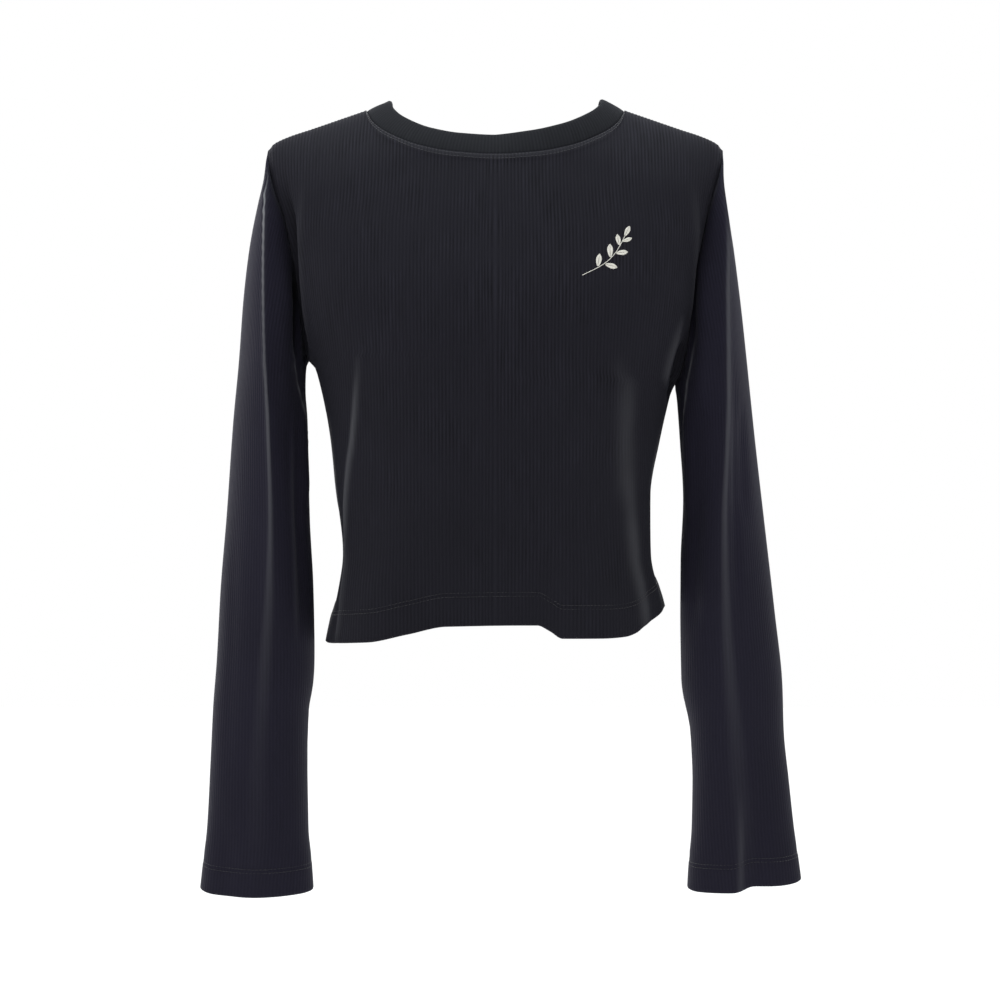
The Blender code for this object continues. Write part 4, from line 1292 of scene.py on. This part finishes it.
# %% One class for values, and one method for nodes
class Value:
    """An output of a node. Arithmetic on it adds Math nodes."""

    def __init__(self, tree, socket):
        self.tree, self.socket = tree, socket

    def node(self, kind, settings=None, inputs=None, output=0):
        """A node of a kind, with its settings first and then its sockets' values or links."""
        made = self.tree.nodes.new(kind)
        for key, setting in (settings or {}).items():
            setattr(made, key, setting)
        for key, given in (inputs or {}).items():
            if isinstance(given, Value):
                self.tree.links.new(given.socket, made.inputs[key])
            else:
                made.inputs[key].default_value = given
        return Value(self.tree, made.outputs[output])

    def _sum(self, operation, *given):
        return self.node("ShaderNodeMath", {"operation": operation}, dict(enumerate(given)))

    def __add__(self, other):
        return self._sum("ADD", self, other)

    def __sub__(self, other):
        return self._sum("SUBTRACT", self, other)

    def __rsub__(self, other):
        return self._sum("SUBTRACT", other, self)

    def __mul__(self, other):
        return self._sum("MULTIPLY", self, other)

    def __truediv__(self, other):
        return self._sum("DIVIDE", self, other)

    __radd__, __rmul__ = __add__, __mul__

    def wave(self):
        """A cosine over each whole step of the value."""
        return self._sum("COSINE", self * (2 * np.pi))

    def fraction(self):
        return self._sum("FRACT", self)

    def whole(self):
        return self._sum("FLOOR", self)

    def size(self):
        return self._sum("ABSOLUTE", self)

    def positive(self):
        return self._sum("MAXIMUM", self, 0.0)

    def limited(self):
        """The value kept between 0 and 1."""
        return self._sum("MINIMUM", self.positive(), 1.0)

    def noise(self, place, scale, detail):
        """A soft random value over places, from 0 to 1."""
        inputs = {"Vector": place, "Scale": scale, "Detail": detail}
        return self.node("ShaderNodeTexNoise", inputs=inputs, output="Fac")

    def axis(self, name):
        """One coordinate of a vector."""
        return self.node("ShaderNodeSeparateXYZ", inputs={"Vector": self}, output=name)

    def mix(self, first, second, clamped=True):
        """A colour between two, with this value as the share of the second."""
        settings = {"data_type": "RGBA", "clamp_factor": clamped}
        return self.node("ShaderNodeMix", settings, {"Factor": self, "A": first, "B": second}, output=2)

    def number(self, name):
        """A number kept on the mesh's points."""
        return self.node("ShaderNodeAttribute", {"attribute_name": name}, output="Fac")


def new_finish(name, roughness, sheen, sheen_tint):
    """A material, its nodes, its shader with the constants on its own sockets, and a value to start from."""
    material = bpy.data.materials.new(name)
    material.use_nodes = True
    tree = material.node_tree
    shader = tree.nodes["Principled BSDF"]
    shader.inputs["Roughness"].default_value = roughness
    shader.inputs["Specular IOR Level"].default_value = 0.1
    shader.inputs["Sheen Weight"].default_value = sheen
    shader.inputs["Sheen Roughness"].default_value = 0.45
    shader.inputs["Sheen Tint"].default_value = (*sheen_tint, 1)
    return material, tree, shader, Value(tree, None)


print("a finish is a material whose colour, roughness and normal are worked out at each point")

# %% [markdown]
# ## Rib-knit cotton
#
# The cloth is a near-black cotton. What the eye reads as black cloth is many small differences: the crest of
# each rib is painted a little lighter and its furrow darker, as painted shade, some ribs took the dye better
# than others, and the knitted loops break up the light. The cloth is also painted darker towards its lower
# part, as painted shade, and its creases take a painted highlight, and their gullies painted shade. The
# relief of the loops is far too fine for the mesh, so it is a bump: chevrons that climb along each wale, four
# wales to a rib.

# %% The finish of the rib knit
WALES = 4  # wales of loops to a rib
COURSE = 0.62  # millimetres from one course of loops to the next
MIDDLE_SHADE = 0.84  # of the cloth's colour, before ribs, streaks and lint
LOWER_SHADE = 0.15  # how much darker painted shade makes the lower part of the cloth, which gets less of the light from above
LOWER_STARTS = 0.14  # metres below the neck
HIGHLIGHT_COLOUR = (0.155, 0.157, 0.17, 1)  # the pale grey of a painted highlight
GULLY_SHADE = 4.5  # how much darker painted shade makes a gully, for each unit that its painted light lies below nothing
HIGHLIGHT_SHARE = 0.3  # share of the painted highlight's grey, for each unit of painted light


def rib_knit(name, colour, seed, plain):
    """Rib-knit cotton of one dark colour. The plainer it is, from 0 to 1, the less its ribs show."""
    material, tree, shader, start = new_finish(name, 0.86, 0.03, (0.8, 0.8, 1.0))
    rib, run, fold = start.number("rib"), start.number("run"), start.number("fold")
    # The creases' painted light: above nothing a painted highlight, below nothing painted shade in a gully,
    # and a thin painted highlight along a sleeve's sharp fold.
    line = (1 - fold * fold * 0.4).positive()
    worn = start.number("worn") + start.number("fold_worn") * line * line
    crest = rib.wave() * 0.5 + 0.5
    place = start.node("ShaderNodeTexCoord", output="Object")
    one_rib = (rib + 0.5).whole() * 3.7 + seed
    where = start.node("ShaderNodeCombineXYZ", inputs={0: one_rib, 1: run * 0.03, 2: seed})
    streak = start.noise(where, 1.0, 2.0)
    patch = start.noise(place, 34.0, 2.0)
    cloud = start.noise(place, 11.0, 3.0)
    lint = start.noise(place, 1400.0, 2.0)
    # Painted shade darkens the lower part of the cloth, and there the ribs' painted shade is weaker.
    low = ((place.axis("Z") * -1 - LOWER_STARTS) * 4).limited()
    # Each rib's crest is painted lighter and its furrow darker, as painted shade, as much as shown says; the
    # streaks, cloud and lint are the cloth's own uneven tone.
    shown = (0.12 + (patch - 0.42).positive() * 1.9) * (1 - low * 0.45) * (1 - plain)
    light = MIDDLE_SHADE + (crest - 0.5) * shown + (streak - 0.5) * shown * 1.6
    light = light + (cloud - 0.5) * 0.3 + (lint - 0.5) * 0.4
    # Painted shade darkens the lower cloth and the creases' gullies.
    light = light * (1 - low * LOWER_SHADE) * (1 - (worn * -1).positive() * GULLY_SHADE)
    dyed_and_shaded = light.mix((0, 0, 0, 1), (*colour, 1), clamped=False)
    # A painted highlight turns a lit crease towards pale grey.
    shade = (worn.positive() * HIGHLIGHT_SHARE).mix(dyed_and_shaded, HIGHLIGHT_COLOUR)
    wale = ((rib * WALES).fraction() - 0.5).size() * 2
    chevron = (run / COURSE + wale * 0.45).wave()
    loop = (1 - wale * wale) * (0.7 + chevron * 0.3)
    relief = {"Strength": 0.35, "Distance": 0.12 * MM, "Height": loop + lint * 0.6}
    bump = start.node("ShaderNodeBump", inputs=relief)
    tree.links.new(shade.socket, shader.inputs["Base Color"])
    tree.links.new((0.92 - crest * 0.1 + (lint - 0.5) * 0.1).socket, shader.inputs["Roughness"])
    tree.links.new(bump.socket, shader.inputs["Normal"])
    return material


slots = {slot["slot"]: slot["base_color"] for slot in frame["record"]["materials"]}
finishes = {
    "body_rib": rib_knit("body_rib_knit", slots["body_rib"], 1.0, 0),
    "sleeve_rib": rib_knit("sleeve_rib_knit", slots["sleeve_rib"], 5.0, 0.5),
    "neckband_rib": rib_knit("neckband_rib_knit", slots["neckband_rib"], 9.0, 0.4),
}
print("finishes:", ", ".join(finishes))

# %% [markdown]
# ## Thread
#
# The seams are sewn with a twisted thread of nearly the cloth's colour. Its twist is a fine slanting bump.

# %% The finish of the sewing thread
def sewing_thread(name, colour):
    """Twisted thread of one colour."""
    material, tree, shader, start = new_finish(name, 0.55, 0.3, (1.0, 1.0, 1.0))
    place = start.node("ShaderNodeTexCoord", output="Object")
    twist = start.node(
        "ShaderNodeTexWave",
        {"bands_direction": "DIAGONAL"},
        {"Vector": place, "Scale": 700.0, "Distortion": 1.5, "Detail": 1.0},
        output="Fac",
    )
    patch = start.noise(place, 90.0, 2.0)
    darker = (*(part * 0.6 for part in colour), 1)
    shade = (0.25 + twist * 0.5 + patch * 0.25).mix(darker, (*colour, 1))
    bump = start.node("ShaderNodeBump", inputs={"Strength": 0.4, "Distance": 0.1 * MM, "Height": twist})
    tree.links.new(shade.socket, shader.inputs["Base Color"])
    tree.links.new(bump.socket, shader.inputs["Normal"])
    return material


finishes["neck_thread"] = sewing_thread("neck_sewing_thread", (0.036, 0.035, 0.043))
finishes["hem_thread"] = sewing_thread("hem_sewing_thread", (0.0105, 0.0098, 0.0135))
finishes["embroidery_thread"] = sewing_thread("embroidery_thread", slots["embroidery_thread"])

# %% [markdown]
# ## Putting the pieces in place of the plain solids
#
# Each cloth stands for one plain solid, which isn't shown any more, and rides on the garment's one body. The
# table also gives each piece's size cut flat, and its area. The neckband is folded double, so its flat size
# is that of the half that shows.

# %% Pieces, their solids, their finishes and their cut
CLOTHS = (
    (front, "front_panel", "body_rib", (0.43, 0.43), 0.155),
    (back, "back_panel", "body_rib", (0.41, 0.43), 0.150),
    (right_sleeve, "right_sleeve", "sleeve_rib", (0.29, 0.60), 0.130),
    (left_sleeve, "left_sleeve", "sleeve_rib", (0.29, 0.60), 0.130),
    (neckband, "neckband", "neckband_rib", (0.45, 0.026), 0.0115),
)
for piece, node, slot, flat, area in CLOTHS:
    piece.data.materials.append(finishes[slot])
    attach(piece, "root")
    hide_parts(node)
    print(piece.name, "stands for", node)
STITCHINGS = (
    (neck_stitching, "neck_thread", "body_rib"),
    (hem_stitching, "hem_thread", "body_rib"),
    (cuff_stitching, "hem_thread", "sleeve_rib"),
    (sprig, "embroidery_thread", "embroidery_thread"),
)
for stitching, finish, slot in STITCHINGS:
    stitching.data.materials.append(finishes[finish])
    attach(stitching, "root")

# %% [markdown]
# ## Floor, light and camera
#
# A near-black cloth shows its form only through soft light. The camera sees plain white surroundings, which
# light the garment a little more from the left and from above. Two large lamps stand behind it, left and
# right, and draw its edges, and a broad lamp with a slightly cool light hangs overhead. The floor is white
# too and lies below the cuffs, because the garment hangs.

# %% Floor
bpy.ops.mesh.primitive_plane_add(size=14, location=(0, 0, -1.0))
floor = bpy.context.object
floor.name = "floor"
floor_finish, _, floor_shader, _ = new_finish("white_floor", 0.9, 0.0, (1, 1, 1))
floor_shader.inputs["Base Color"].default_value = (1, 1, 1, 1)
floor.data.materials.append(floor_finish)

# %% Surroundings and lamps
LEVEL, MORE_FROM_LEFT, MORE_FROM_ABOVE = 0.93, 0.36, 0.28
world = bpy.data.worlds.new("white_studio")
world.use_nodes = True
world_start = Value(world.node_tree, None)
towards = world_start.node("ShaderNodeTexCoord", output="Generated")
seen = world_start.node("ShaderNodeLightPath", output="Is Camera Ray")
strength = LEVEL - towards.axis("X") * MORE_FROM_LEFT + towards.axis("Z") * MORE_FROM_ABOVE
background = world.node_tree.nodes["Background"]
background.inputs["Color"].default_value = (1, 1, 1, 1)
world.node_tree.links.new((strength + (1 - strength) * seen).socket, background.inputs["Strength"])
bpy.context.scene.world = world
# Each lamp's place and size in metres, its watts and its colour.
LAMPS = (
    ("lamp_left", (-1.35, 1.75, -0.1), (1.2, 1.8), 34, (1, 1, 1)),
    ("lamp_right", (1.35, 1.75, -0.1), (1.2, 1.8), 17, (1, 1, 1)),
    ("lamp_above", (0, 0, 1.9), (2, 2), 42, (0.9, 1, 0.98)),
)
for name, place, size, watts, colour in LAMPS:
    lamp = bpy.data.lights.new(name, "AREA")
    lamp.shape, lamp.size, lamp.size_y, lamp.energy = "RECTANGLE", *size, watts
    holder = bpy.data.objects.new(name, lamp)
    holder.location = place
    lamp.color = colour
    aim = Vector((0, 0, -0.3)) - holder.location
    holder.rotation_euler = aim.to_track_quat("-Z", "Y").to_euler()
    bpy.context.scene.collection.objects.link(holder)
print("lamps:", len(LAMPS))

# %% Camera
DISTANCE = 2.3
CAMERA_ACROSS, CAMERA_UP = 3.66 * MM, -315.85 * MM
SENSOR = 36  # millimetres
PICTURE = 1000 * 0.813 * MM  # what the picture spans at the garment's middle plane
camera_data = bpy.data.cameras.new("camera")
camera_data.sensor_width = SENSOR
camera_data.lens = SENSOR * DISTANCE / PICTURE
camera = bpy.data.objects.new("camera", camera_data)
camera.location = (CAMERA_ACROSS, -DISTANCE, CAMERA_UP)
camera.rotation_euler = (np.pi / 2, 0, 0)
bpy.context.scene.collection.objects.link(camera)
bpy.context.scene.camera = camera
bpy.context.scene.view_settings.view_transform = "Standard"
